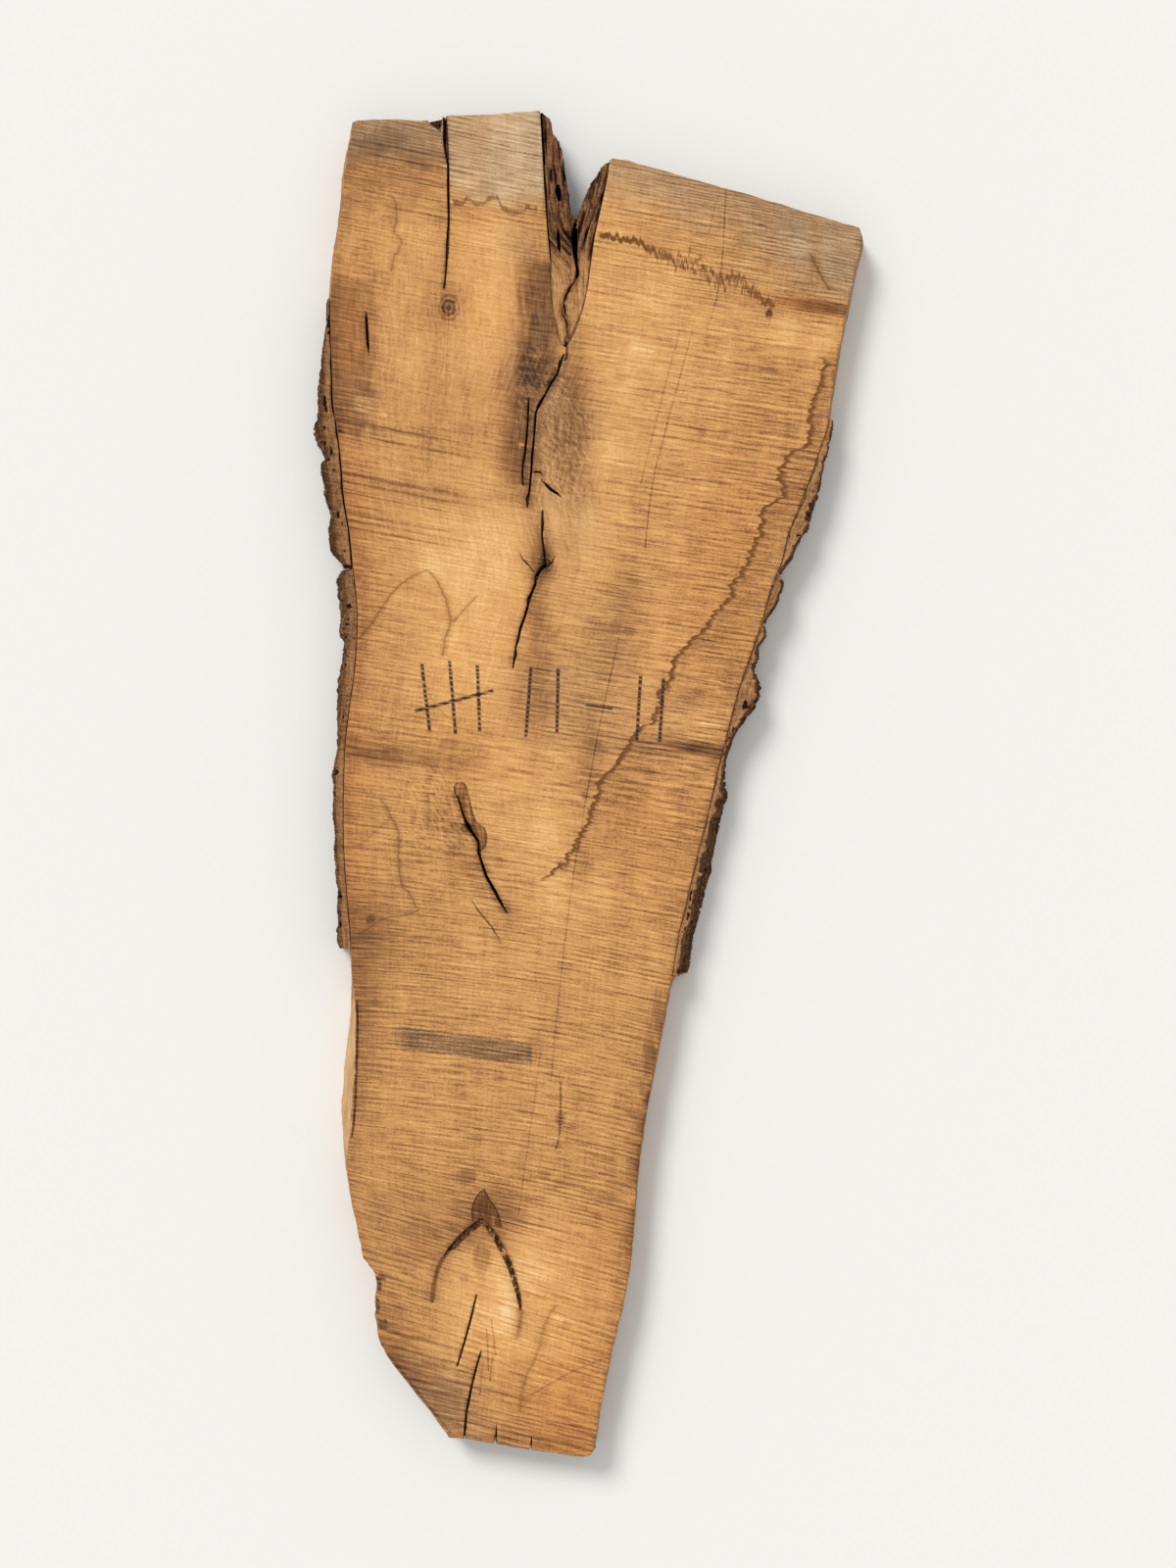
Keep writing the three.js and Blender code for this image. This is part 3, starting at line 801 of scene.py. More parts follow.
cracks = [  # points along each open crack, the reach of the dark beside it, strength
    ([(1000, -212), (916, -207), (833, -206), (763, -210), (733, -213)], 6, 0.3),
    ([(636, -36), (608, -45), (579, -62), (550, -77), (511, -80), (463, -84), (431, -87), (409, -90)],
     13, 0.34),
    ([(572, -88), (536, -89), (492, -93), (463, -97), (442, -96)], 9, 0.3),
    ([(405, -67), (368, -68), (335, -64), (318, -70), (296, -78), (263, -89), (231, -100),
      (202, -107), (171, -111)], 14, 0.42),
    ([(-17, -193), (-50, -183), (-73, -171), (-85, -162), (-114, -158), (-157, -139), (-191, -120)],
     13, 0.42),
    ([(-755, -165), (-805, -177), (-862, -194)], 5, 0.3),
    ([(-839, -158), (-882, -170), (-932, -180), (-985, -184)], 5, 0.3),
]
knotRings = [  # x, y, radius, strength
    (-206, 705, 15, 0.75), (168, 521, 8, 0.6), (-4, -17, 7, 0.6), (-38, -120, 9, 0.75),
    (-41, -494, 8, 0.8), (-62, 327, 10, 0.8),
]
darkSpots = [  # x, y, half width, half height, strength: speckled smudges
    (-157, -704, 15, 24, 0.95), (-184, -732, 7, 8, 0.7), (-181, -581, 18, 12, 0.7),
    (268, 695, 6, 9, 1.6), (-28, -590, 26, 9, 0.4), (50, 600, 8, 8, 0.4), (205, 522, 14, 3, 0.6),
    (-112, -190, 14, 18, 0.35), (-322, -200, 7, 8, 0.9), (40, 232, 10, 12, 0.35),
    (62, 226, 9, 9, 0.4), (-300, 45, 8, 8, 0.5), (-205, 60, 16, 10, 0.35), (-226, 100, 30, 8, 0.3),
    (-320, 940, 26, 16, 0.3), (-150, 880, 16, 18, 0.5), (-179, -65, 12, 8, 0.9),
    (-198, -62, 9, 4, 0.6), (-310, -742, 6, 12, 1.2), (-314, -772, 7, 14, 1.2),
    (-302, -800, 9, 8, 0.9), (-306, -730, 10, 5, 0.9), (-40, 676, 8, 14, 0.8),
    (-32, -801, 9, 9, 0.6), (-151, -628, 17, 20, 0.45), (-66, -580, 10, 7, 0.5),
    (92, -468, 13, 12, 0.7), (90, -400, 10, 45, 0.45), (103, -330, 9, 32, 0.35),
    (-300, 955, 30, 18, 0.4), (-245, 930, 40, 20, 0.3), (-268, 862, 20, 22, 0.35),
]
paleSpots = [(-100, 501, 5, 6, 1.2), (-332, 563, 16, 15, 0.7), (-302, 546, 5, 4, 0.8)]
knotPatches = [  # left side and right side of each patch of wood cut across its grain
    ([(3, -192), (-8, -198), (-24, -192), (-50, -184), (-73, -171), (-98, -160)],
     [(3, -186), (-5, -180), (-30, -174), (-55, -166), (-68, -152), (-84, -150), (-98, -158)]),
    ([(-600, -155), (-615, -167), (-632, -172), (-656, -166)],
     [(-600, -153), (-612, -147), (-620, -142), (-630, -135), (-656, -128)]),
]
markerStrokes = [  # x, y at both ends: plain tally strokes in black wax
    (-246, 178, -234, 76), (-205, 182, -196, 74), (-164, 176, -160, 78), (-256, 108, -140, 138),
    (-84, 174, -92, 70), (-44, 170, -46, 76), (-4, 118, 36, 112), (78, 160, 72, 64),
    (112, 158, 106, 62),
]
darkMarks = [472, 453, 395, 381, 366, 337, 326, 316]  # saw marks that hold dirt, left of the heart
faceLook = {
    "roughness": 0.78,
    "specular": 0.16,
    "relief": (0.6, 0.35),
    # how much each pattern lightens or darkens the wood
    "marks": {"stroke": 0.11, "fine": 0.14, "groove": 0.15, "lit": 0.16},
    "grain": {"streak": 0.055, "fibre": 0.09, "grit": 0.13, "fine": 0.05},
    "pits": 0.45,
    "curl": 0.2,
    "pale": 0.3,
    "shadow": 0.36,
    "brownDarkens": 0.08,
    "brown": (120, 75, 36),
    "brownShare": 0.66,
    "orange": (246, 205, 158),
    "orangeShare": 0.5,
    "wax": (40, 31, 34),
    "tones": [
        (0.0, (46, 28, 18)), (0.2, (98, 65, 40)), (0.4, (160, 110, 66)), (0.55, (203, 147, 90)),
        (0.7, (225, 170, 104)), (0.85, (242, 192, 125)), (1.0, (253, 224, 176)),
    ],
    "weathered": [
        (0.0, (44, 34, 27)), (0.25, (98, 78, 58)), (0.45, (150, 121, 91)), (0.6, (186, 155, 120)),
        (0.8, (213, 185, 149)), (1.0, (236, 215, 188)),
    ],
}


# The band that a stacking batten left, through one point of its middle, and the stretch it lies in
batten = {"x": -180, "y": -388, "falls": 0.134, "stretch": (-420, -350), "darkens": 0.17, "greys": 0.6}
curlyStretches = [(-20, 60), (100, 300), (400, 600)]
dirtyStretch = (300, 520)  # where the dark marks lie
overlap = 15  # how far a mark reaches beyond its points


class SawnFace(Finish):
    # one stretch of the sawn face, with the lines and marks that lie in it
    def __init__(self, name, low, high):
        super().__init__(name, faceLook)
        self.low = low
        self.high = high
        self.x, self.y, _ = self.place()
        self.level, self.dark, self.grey = self.field("faceTones")
        self.orange, self.swirl, self.band = self.field("faceStains")
        self.phase, self.grain, self.strength = self.field("sawMarks")
        self.streak = self.noise(self.grain / 5, self.y / 100, 3.1, 3, 0.6)
        self.fibre = self.noise(self.grain / 2.9, self.y / 26, 4.4, 2, 0.6)
        self.stroke = self.noise(self.x / 60, self.phase * 1.9, 5.9, 3, 0.65)
        self.fine = self.noise(self.x / 36, self.phase * 2.9, 6.3, 2, 0.7)
        self.grit = self.noise(self.x / 3.3, self.y / 3.4, 8.2, 2, 0.7)
        self.crest = self.phase.wave()
        self.brown, self.shadow, self.pale = [], [], []

    def here(self, places):
        return min(places) < self.high + overlap and max(places) > self.low - overlap

    def linesHere(self, lines, lying=False, handles="AUTO"):
        # of each line in this stretch: the way across from it, 1 beside its length, and its settings
        along, across = (self.x, self.y) if lying else (self.y, self.x)
        for points, *settings in lines:
            if self.here([p[lying] for p in points]):
                drawn, inside = along.curve(points, handles)
                yield across - drawn, inside, *settings

    def addGrainAndMarks(self):
        streak, fibre, stroke, fine, grit = self.streak, self.fibre, self.stroke, self.fine, self.grit
        scratch = self.noise(self.x / 110, self.phase * 2.5, 7.7, 2, 0.6)
        ridge = self.noise(self.x / 150, self.phase * 0.9, 2.7, 2, 0.6)
        # painted shade in the troughs of the saw marks, and painted light and shade in streaks along them
        groove = 0.5 - 0.5 * self.crest
        groove = groove * groove * (0.55 + 0.8 * ridge + 0.4 * stroke + 0.5 * self.band)
        lit = 1.5 * scratch.step(-0.4, -1.0) - scratch.step(0.4, 1.0)
        level = self.level - self.dark * (0.5 + 0.22 * streak + 0.22 * stroke + 0.24 * grit)
        # the grain shows where the saw marks are faint, and the marks hide it elsewhere
        show = faceLook["grain"]
        level = level + show["streak"] * streak + (1.65 - self.strength) * show["fibre"] * fibre
        level = level + show["grit"] * grit + show["fine"] * fine
        show = faceLook["marks"]
        marks = show["stroke"] * stroke + show["fine"] * fine - show["groove"] * groove
        level = level + self.strength * (marks + show["lit"] * lit)
        self.level = level - faceLook["pits"] * (grit + 0.8 * fine).step(1.1, 1.6)

    def addCurlyGrain(self):
        # a curly figure where the grain turns round a knot and beside the seam
        if any(self.here(stretch) for stretch in curlyStretches):
            across, along = self.x * 0.8 + self.y * 0.6, self.y * 0.8 - self.x * 0.6
            curl = self.noise(across / 4 + self.streak, along / 13, 9.1, 3)
            self.level = self.level + faceLook["curl"] * curl * self.swirl.step(0.1, 0.8)

    def addWaterLine(self):
        # the water line, with duller wood on its right
        for off, inside in self.linesHere([(waterLine,)]):
            off = off + 11 * self.noise(self.phase, self.x / 60, 2.2, 3, 0.6)
            line = 1.7 * off.step(-1.8, 0.6) * off.step(11, 2) * inside
            self.brown.append(line * (0.9 + 0.8 * self.stroke))
            self.level = self.level - 0.055 * off.step(-1, 5) * off.step(110, 20) * inside

    def addBrownLines(self):
        x, y, streak, fibre = self.x, self.y, self.streak, self.fibre
        for off, inside, width, strength in self.linesHere(brownLines):
            off = abs(off + 2.6 * self.stroke)
            soft = 0.4 * off.step(3.2 * width, width) + off.step(width, 0.5)
            self.brown.append(strength * soft * inside * (1 + 0.5 * fibre))
        for off, inside, width, strength in self.linesHere(lyingLines, lying=True):
            self.brown.append(strength * abs(off + 1.2 * fibre).step(width, 0.5) * inside)
        for off, inside in self.linesHere([(limbLine,)], lying=True):
            off = off + 3 * fibre
            drip = off.step(-2.2, 0) * (off - (7 + 5 * streak)).step(1, -4)
            self.brown.append(drip * inside * (0.8 + 0.6 * streak))
        for off, inside in self.linesHere([(toothedLine,)], lying=True, handles="VECTOR"):
            reach = 9 + 24 * x.step(80, 150) * x.step(275, 225)
            for k, width in enumerate((5.5, 4.2)):
                teeth = self.noise(x / width, 0.2, 1.1 + 5 * k, 2, 0.65)
                away = abs(off + teeth * reach) - 3.2 - 2.5 * self.noise(x / 9, y / 8, 1.9, 2)
                self.brown.append(1.1 * away.step(2.2, -1.2) * inside * (0.9 + 0.5 * streak))

    def addGrainAndCrackShadeLines(self):
        for off, inside, width, strength in self.linesHere(grainAndCrackShadeLines):
            line = strength * abs(off + 0.6 * self.streak).step(width, 0.4) * inside
            self.shadow.append(line * (0.8 + 0.8 * self.fibre))

    def addCracks(self):
        # painted shade beside each open crack and along its line, and a painted highlight along its rim
        for off, inside, reach, strength in self.linesHere(cracks):
            away = abs(off) + 1.2 * self.fine
            crackShade = strength * away.step(reach, 1.5) * inside
            self.shadow.append(crackShade * (0.8 + 0.6 * self.fibre))
            self.shadow.append(1.3 * abs(off).step(2.0, 0.9) * inside)
            rim = away.step(1.4, 2.4) * away.step(5.4, 3.4) * inside
            self.pale.append(0.55 * rim * (self.fibre + self.fine).step(0.0, 0.7))

    def addKnots(self):
        x, y, fine = self.x, self.y, self.fine
        for cx, cy, radius, strength in knotRings:
            if self.here([cy]):
                across, along = x - cx, (y - cy) * 0.8
                away = (across * across + along * along).root() / radius
                away = away + 0.08 * self.grit + 0.06 * fine
                rings = 0.55 + 0.45 * (away * 1.9 + 0.2 * fine).wave()
                rings = rings.atLeast(away.step(0.42, 0.15))
                self.shadow.append(strength * away.step(1.2, 0.8) * rings)

    def addSpots(self):
        for spots, marks in ((darkSpots, self.shadow), (paleSpots, self.pale)):
            for cx, cy, wide, tall, strength in spots:
                if self.here([cy]):
                    across, along = (self.x - cx) / wide, (self.y - cy) / tall
                    away = across * across + along * along + 0.35 * self.stroke + 0.5 * self.fibre
                    speckle = 0.5 + 0.9 * self.fine + 0.6 * self.grit
                    marks.append(strength * away.step(1.3, 0.3) * speckle)

    def addKnotPatches(self):
        for leftSide, rightSide in knotPatches:
            for off, inside in self.linesHere([(leftSide,)]):
                right, _ = self.y.curve(rightSide)
                fromLeft, fromRight = off + 1.6 * self.fine, right - self.x + 1.6 * self.fine
                within = fromLeft.step(-1.5, 0.5) * fromRight.step(-1.5, 0.5) * inside
                rim = within - fromLeft.step(0.5, 3) * fromRight.step(0.5, 3) * inside
                self.brown.append(within * (0.5 + 0.6 * self.fibre))
                crossed = 0.3 + 0.7 * self.streak + 0.5 * self.fibre
                self.shadow.append(within * crossed + 0.75 * rim)

    def addDarkMarks(self):
        if self.here(dirtyStretch):
            spikes = [(phaseAt(s) + d, float(d == 0)) for s in darkMarks for d in (-0.42, 0, 0.42)]
            held, inside = self.phase.curve(spikes, "VECTOR")
            leftOfHeart = inside * self.x.step(-120, -230)
            self.shadow.append(0.85 * held * leftOfHeart * (0.6 + 0.9 * self.stroke))

    def addBatten(self):
        if self.here(batten["stretch"]):
            x, streak = self.x, self.streak
            off = abs(self.y - batten["y"] + batten["falls"] * (x - batten["x"])) + 3 * streak
            band = off.step(19, 13) * x.step(-296, -262) * x.step(-84, -100) * (0.75 + 0.5 * streak)
            hook = off.step(22, 8) * abs(x + 88).step(7, 2) * 0.9
            band = band.atLeast(hook)
            self.level = self.level - batten["darkens"] * band
            self.grey = self.grey + batten["greys"] * band

    def withWax(self, colour):
        wax = []
        for x0, y0, x1, y1 in markerStrokes:
            if self.here([y0, y1]):
                length = math.hypot(x1 - x0, y1 - y0)
                dx, dy = (x1 - x0) / length, (y1 - y0) / length
                run = (self.x - x0) * dx + (self.y - y0) * dy
                off = abs((self.x - x0) * dy - (self.y - y0) * dx + 0.9 * self.streak)
                wax.append(off.step(3.3, 1.7) * run.step(-2, 2) * (length - run).step(-2, 2))
        if not wax:
            return colour
        # the wax skips over the hollows
        kept = (self.crest + 1.6 * self.stroke + 0.9 * self.fine + 0.7 * self.grit).step(-1.6, 0.3)
        return self.mix(sum(wax) * (0.2 + 0.75 * kept), colour, tone(*faceLook["wax"]))

    def finished(self):
        self.addGrainAndMarks()
        self.addCurlyGrain()
        self.addWaterLine()
        self.addBrownLines()
        self.addGrainAndCrackShadeLines()
        self.addCracks()
        self.addKnots()
        self.addSpots()
        self.addKnotPatches()
        self.addDarkMarks()
        self.addBatten()
        level = self.level + faceLook["pale"] * sum(self.pale) - faceLook["shadow"] * sum(self.shadow)
        brown = sum(self.brown)
        level = level - faceLook["brownDarkens"] * brown
        fresh, grey = (self.ramp(level, faceLook[key]) for key in ("tones", "weathered"))
        colour = self.mix(self.grey, fresh, grey)
        orange = tone(*faceLook["orange"])
        colour = self.mix(faceLook["orangeShare"] * self.orange, colour, orange, "MULTIPLY")
        if self.brown:
            colour = self.mix(faceLook["brownShare"] * brown, colour, tone(*faceLook["brown"]))
        colour = self.withWax(colour)
        relief = 0.5 * self.stroke + 0.5 * self.fine + 0.4 * self.fibre + 0.4 * self.grit
        return self.finishWith(colour, relief)


liveEdge = {
    "roughness": 0.85, "specular": 0.15, "relief": (0.5, 0.6), "level": 0.5, "streak": 0.16,
    "fibre": 0.14, "patch": 0.16, "tornFibres": 0.24,
    "tones": [
        (0.0, (52, 35, 24)), (0.3, (122, 87, 58)), (0.55, (178, 134, 92)), (0.8, (212, 170, 122)),
        (1.0, (234, 200, 156)),
    ],
}


def liveEdgeFinish():
    edge = Finish("bareLiveEdge", liveEdge)
    x, y, z = edge.place()
    streak = edge.noise(z / 3.2, y / 60, x / 14, 4, 0.6)
    fibre = edge.noise(z / 1.1, y / 18, x / 5, 2)
    patch = edge.noise(z / 30, y / 60, 3.3, 3)
    # torn pale fibres low on the left side
    torn = y.step(-300, -330) * y.step(-570, -530) * x.step(-300, -320)
    level = edge.weigh(streak=streak, fibre=fibre, patch=patch, tornFibres=torn)
    return edge.toned(level, streak + fibre)


endGrain = {
    "roughness": 0.85, "specular": 0.15, "relief": (0.5, 0.4), "level": 0.48, "pores": 0.1,
    "patch": 0.12, "marks": 0.1, "ring": -0.11, "ringWidth": 5.2,
    "pith": {"trunk": -80, "leftLimb": -165, "rightLimb": 200, "height": -14},
    "tones": [
        (0.0, (44, 32, 24)), (0.3, (94, 70, 50)), (0.6, (150, 116, 82)), (1.0, (204, 168, 126)),
    ],
}


def endGrainFinish():
    end = Finish("sawnEndGrain", endGrain)
    x, y, z = end.place()
    pores = end.noise(x / 1.1, z / 1.1, y / 1.1, 2, 0.6)
    patch = end.noise(x / 40 + z / 60, z / 9, 1.2, 3)
    marks = end.noise(z / 18, (x + y) / 2.2, 2.4, 2)
    # the growth rings, round the pith of each limb and of the trunk
    pith = endGrain["pith"]
    inLimb = (pith["rightLimb"] - pith["leftLimb"]) * x.step(-10, 10) + (pith["leftLimb"] - pith["trunk"])
    across = x - (y.step(-10, 10) * inLimb + pith["trunk"])
    up = z - pith["height"]
    ring = ((across * across + up * up).root() / endGrain["ringWidth"] + 0.5 * patch).wave()
    level = end.weigh(pores=pores, patch=patch, marks=marks, ring=ring.step(-0.2, 0.9))
    return end.toned(level, pores + marks)


splitWall = {
    "roughness": 0.9, "specular": 0.1, "relief": (0.6, 0.8), "level": 0.36, "torn": 0.3,
    "deep": -0.34, "mouth": 0.3, "crumbs": 0.3, "notch": 0.34,
    "tones": [
        (0.0, (22, 14, 10)), (0.4, (58, 37, 24)), (0.75, (116, 78, 48)), (1.0, (188, 142, 94)),
    ],
}


def splitWallFinish():
    wall = Finish("splitWall", splitWall)
    x, y, z = wall.place()
    floor = slab["grooveFloor"]
    torn = wall.noise(z / 6, y / 14, x / 4, 4, 0.65)
    crumbs = 1 / 3 + wall.noise(x / 2.6, y / 2.6, z / 3, 2, 0.7)
    # crumbly bark in the notch beside the split in the left limb's end
    notch = y.step(950, 960) * x.step(-214, -220)
    # painted shade deeper down in the splits and grooves, and painted light near their mouths
    level = wall.weigh(
        torn=torn, deep=z.step(floor, floor - 5), mouth=z.step(floor + 1, floor + 6),
        crumbs=crumbs * z.step(floor - 2, floor), notch=notch,
    )
    return wall.toned(level, torn)


# The wood

woodWear = {
    "edgeBand": 28,  # how far in from the live edges the wall is bare wood
    "fibres": 0.5,
    "tears": 1.2,
    "nicks": 2.2,
    "crumbled": 3.6,  # low on the left side
    "underBark": 0.2,
    "splits": 0.25,
    "end": {"saw": 0.25, "tears": 0.5, "nicks": 1.1, "crumbled": 0.6},
}
# The crumbs of bark in the shallow grooves, and the middle and half size of where they lie
grooveCrumbs = {"height": 3.2, "unevenness": 3.0, "size": 4.5, "middle": (-150, -710), "half": (70, 80)}
# The face has one finish for each stretch between these places, because each holds few of the marks
faceStretches = [-1010, -560, -230, 35, 200, 430, 650, 760, 1010]


def woodPush(points, normals):
    # how far the walls are worn inwards: fibres and tears on the edges, saw marks on the ends
    x, y, z = points.T
    bare = smoothStep(woodWear["edgeBand"] - toEdge(x, y), 0, 8)
    fibre = 0.5 + 0.5 * softNoise(z / 2.6, y / 26, 0, 61)
    torn = 0.5 + 0.5 * layeredNoise(y / 18, z / 10, 0, 62)
    nick = smoothStep(softNoise(y / 9, z / 12, 0, 63), 0.45, 0.95)
    rugged = smoothStep(-y, 640, 720) * smoothStep(-x, 150, 250)
    crumbled = smoothStep(layeredNoise(y / 13, x / 13, z / 40, 65), -0.3, 0.6)
    crumbled = rugged * woodWear["crumbled"] * crumbled
    live = woodWear["fibres"] * fibre + woodWear["tears"] * torn + woodWear["nicks"] * nick + crumbled
    live = np.where(underBark(x, y), woodWear["underBark"] * fibre, live)
    end = woodWear["end"]
    ends = end["saw"] + end["tears"] * torn + end["nicks"] * nick
    ends = ends + end["saw"] * np.sin(z / 1.4 + x / 30) + end["crumbled"] * crumbled
    isEnd = np.abs(normals[:, 1]) > levelRise
    return np.where(isEnd, ends, bare * live + (1 - bare) * woodWear["splits"] * torn)


def closeSplits(points, normals):
    # torn fibres bridge the splits below their mouths, so that no daylight shows through
    tree = woodTree()
    below = points[:, 2] < slab["splitsCloseBelow"]
    for k in np.flatnonzero(below & (np.abs(normals[:, 0]) > 0.35)):
        x, y, z = points[k]
        side = math.copysign(1, normals[k, 0])
        stepIn = 2 * math.copysign(abs(normals[k, 1]) > 0.3, y)
        start = (x + 0.05 * side, y - stepIn, min(max(z, 1), slab["top"] - 1))
        away = tree.ray_cast(start, (side, 0, 0))[3]
        if away is not None and away < slab["widestSplit"]:
            points[k, 0] += side * max(away / 2 - 0.2, 0)


def fillGrooves(points):
    x, y, z = points.T
    inside = np.abs(z - slab["grooveFloor"]) < 2
    for places, middle, half in zip((x, y), grooveCrumbs["middle"], grooveCrumbs["half"]):
        inside &= np.abs(places - middle) < half
    uneven = layeredNoise(x / grooveCrumbs["size"], y / grooveCrumbs["size"], 0, 64, 2)
    crumbs = grooveCrumbs["height"] + grooveCrumbs["unevenness"] * uneven
    points[:, 2] += np.where(inside, np.maximum(crumbs, 0), 0)


def woodKinds(mesh):
    # which finish each face has: live edge, end grain, split wall, underside or a stretch of the face
    normals, centres = faceArrays(mesh)
    x, y, z = centres.T
    buttEnd = (y < -830) & ((x < -200) | (y < -955))
    rightEnd = (x > 30) & (y > 905 - slab["rightEndFalls"] * x)
    kinds = np.full(len(mesh.polygons), 2)
    kinds[toEdge(x, y) < 30] = 0
    kinds[(buttEnd | (y > 975) | rightEnd) & (np.abs(normals[:, 1]) > 0.35)] = 1
    level = np.abs(normals[:, 2]) > levelRise
    kinds[level & (z < 1.5)] = 3
    onFace = level & (z > slab["top"] - 2.5)
    kinds[onFace] = 3 + np.searchsorted(faceStretches, y[onFace])
    return kinds


def makeWood():
    mesh = copyWithFineWalls("wood", slab["wallEdge"], 4, slab["grooveEdge"])
    points, normals = pointsOf(mesh), wallNormals(mesh)
    closeSplits(points, normals)
    points -= normals * woodPush(points, normals)[:, None]
    fillGrooves(points)
    movePoints(mesh, points)
    wood = newPiece("slabWood", mesh)
    keepInside(wood, sawnTopBlock(-432, 432, -1120, 1100, slab["columns"]))
    keepInside(wood, sawnBottomBlock(-440, 440, -1070, 1070, 13, 9))
    finishes = [liveEdgeFinish(), endGrainFinish(), splitWallFinish()]
    finishes.append(SawnFace("sawnUnderside", 2000, 2001).finished())
    for k, (low, high) in enumerate(zip(faceStretches, faceStretches[1:])):
        finishes.append(SawnFace(f"sawnFace{k + 1}", low, high).finished())
    faceFields(wood.data)
    dress(wood, "wood", finishes, woodKinds(wood.data), 42)


# The bark

sawnBarkLook = {
    "roughness": 0.85, "specular": 0.12, "relief": (0.6, 0.5), "level": 0.52, "layers": 0.2,
    "bands": 0.15, "fleck": 0.2, "stroke": 0.2, "rim": -0.34, "nearWood": -0.2, "gaps": -0.4,
    "low": -0.3, "seams": -0.22,
    "tones": [
        (0.0, (34, 22, 15)), (0.25, (96, 64, 40)), (0.5, (160, 114, 73)), (0.75, (200, 152, 103)),
        (1.0, (230, 190, 144)),
    ],
}


def sawnBarkFinish():
    cut = Finish("sawnBark", sawnBarkLook)
    x, y, z = cut.place()
    phase, across, share = cut.field("barkCut")
    layers = cut.noise(across / 1.9, y / 26, 1.4, 3, 0.6)
    bands = cut.noise(across / 5, y / 80, 2.6, 2)
    stroke = cut.noise(x / 20, phase * 2.1, 4.9, 3, 0.6)
    fleck = cut.noise(x / 3, y / 5, 3.3, 3, 0.7)
    # painted shade beside the gap to the wood, and in the crevices where the cut face lies low
    level = cut.weigh(
        layers=layers, bands=bands, fleck=fleck, stroke=stroke,
        rim=(share + 0.3 * fleck).step(0.62, 1.0), nearWood=across.step(1.6, 0.5),
        gaps=(bands + 0.6 * fleck).step(0.6, 1.3), low=z.step(55.6, 53),
        seams=(layers + 0.3 * stroke).step(0.35, 0.8),
    )
    # the bark on the left is darker, most of all its outer half
    outerHalf = (share + 0.3 * layers + 0.2 * fleck).step(0.35, 0.65)
    level = level - (0.07 + 0.24 * outerHalf + 0.1 * layers) * x.step(10, -10)
    return cut.toned(level, layers + fleck)


scalyBarkLook = {
    "roughness": 0.92, "specular": 0.1, "relief": (0.8, 1.2), "level": 0.06, "height": 0.5,
    "flake": 0.26, "crumb": 0.4, "lichen": 0.1,
    "tones": [
        (0.0, (20, 13, 9)), (0.3, (66, 42, 26)), (0.6, (124, 86, 56)), (0.85, (166, 124, 86)),
        (1.0, (190, 158, 124)),
    ],
}


def scalyBarkFinish():
    outer = Finish("scalyBark", scalyBarkLook)
    x, y, z = outer.place()
    height, _, _ = outer.field("barkRelief")
    flake = outer.noise(y / 9, z / 5, x / 5, 4, 0.65)
    crumb = outer.noise(y / 3.4, z / 4, x / 2.6, 2, 0.7)
    lichen = outer.noise(y / 40, z / 24, x / 24, 3)
    # painted shade: darker where the outside is worn deeper, in its furrows and cracks
    level = outer.weigh(height=height, flake=flake, crumb=crumb, lichen=lichen)
    return outer.toned(level, flake + crumb)


barkRelief = {
    "ridge": 15.0,  # from one ridge to the next
    "furrow": 5.0,
    "plate": 30.0,
    "plateCrack": 3.2,
    "flake": 3.4,
    "shareOfThickness": 0.66,  # the most that may be worn away
    "cleanTop": 0.84,
    "nick": 3.4,
    "parting": 1.3,  # how deep the layers open on the sawn face, and how deep the lost crumbs go
    "lost": 2.6,
    "longestEdge": 2.7,
}
barkStrips = {  # node: side of the slab, seed, and how far the outside leans in, as (y, lean)
    "bark_left_upper": (-1, 101, [(323, 0.5), (480, 0), (540, 2.5), (600, 0.5), (720, 0)]),
    "bark_left_lower": (-1, 102, [(-244, 0), (-100, 0.4), (50, 0), (200, 1.2), (318, 0.2)]),
    "bark_right_upper": (1, 103, [(315, 0.5), (430, 2), (540, 1)]),
    "bark_right_middle": (1, 104, [(241, 0), (310, 0.5)]),
    "bark_right_lower": (1, 105, [(-285, 5), (-150, 5.5), (-20, 3.5), (30, 1), (236, 0.5)]),
}
mostParted = "bark_left_upper"  # the strip that has parted from the wood furthest


def troughs(value):
    # 0 halfway between two whole numbers, and 1 at each of them
    return 1 - (1 - 2 * np.abs(value - np.floor(value) - 0.5))


def leanOf(slope, y, z):
    return follow(slope, y) * smoothStep(z, 6, slab["top"])


def barkWear(points, slope, seed):
    # how far each point of the outside is worn in from the ridge tops
    x, y, z = points.T
    ridge = z / barkRelief["ridge"] + 0.55 * softNoise(y / 55, z / 40, 0, seed)
    furrow = barkRelief["furrow"] * smoothStep(troughs(ridge), 0.45, 1.0)
    along = y / barkRelief["plate"] + 0.37 * np.floor(ridge) + 0.8 * softNoise(y / 24, z / 12, 1, seed)
    crack = barkRelief["plateCrack"] * smoothStep(troughs(along), 0.8, 1.0)
    rough = 2.2 * (0.5 + 0.5 * layeredNoise(y / 11, z / 8, x / 11, seed + 2, 4))
    flakes = barkRelief["flake"] * (0.6 * np.floor(rough * 2) / 4 + 0.2 * rough)
    # the saw has left a cleaner edge at the top, and in some places the outside leans in there
    worn = (furrow + crack + flakes) * (1 - barkRelief["cleanTop"] * smoothStep(z, 38, 54))
    worn += barkRelief["nick"] * smoothStep(softNoise(y / 4.5, z / 14, 0, seed + 9), 0.3, 0.9)
    return worn + leanOf(slope, y, z) * (1 + 0.7 * softNoise(y / 9, z / 30, 2, seed))


def toInnerSide(points, innerSide):
    # how thick the bark is at each point
    tree = KDTree(int(innerSide.sum()))
    for k, point in enumerate(points[innerSide]):
        tree.insert(point, k)
    tree.balance()
    return np.array([tree.find(point)[2] for point in points])


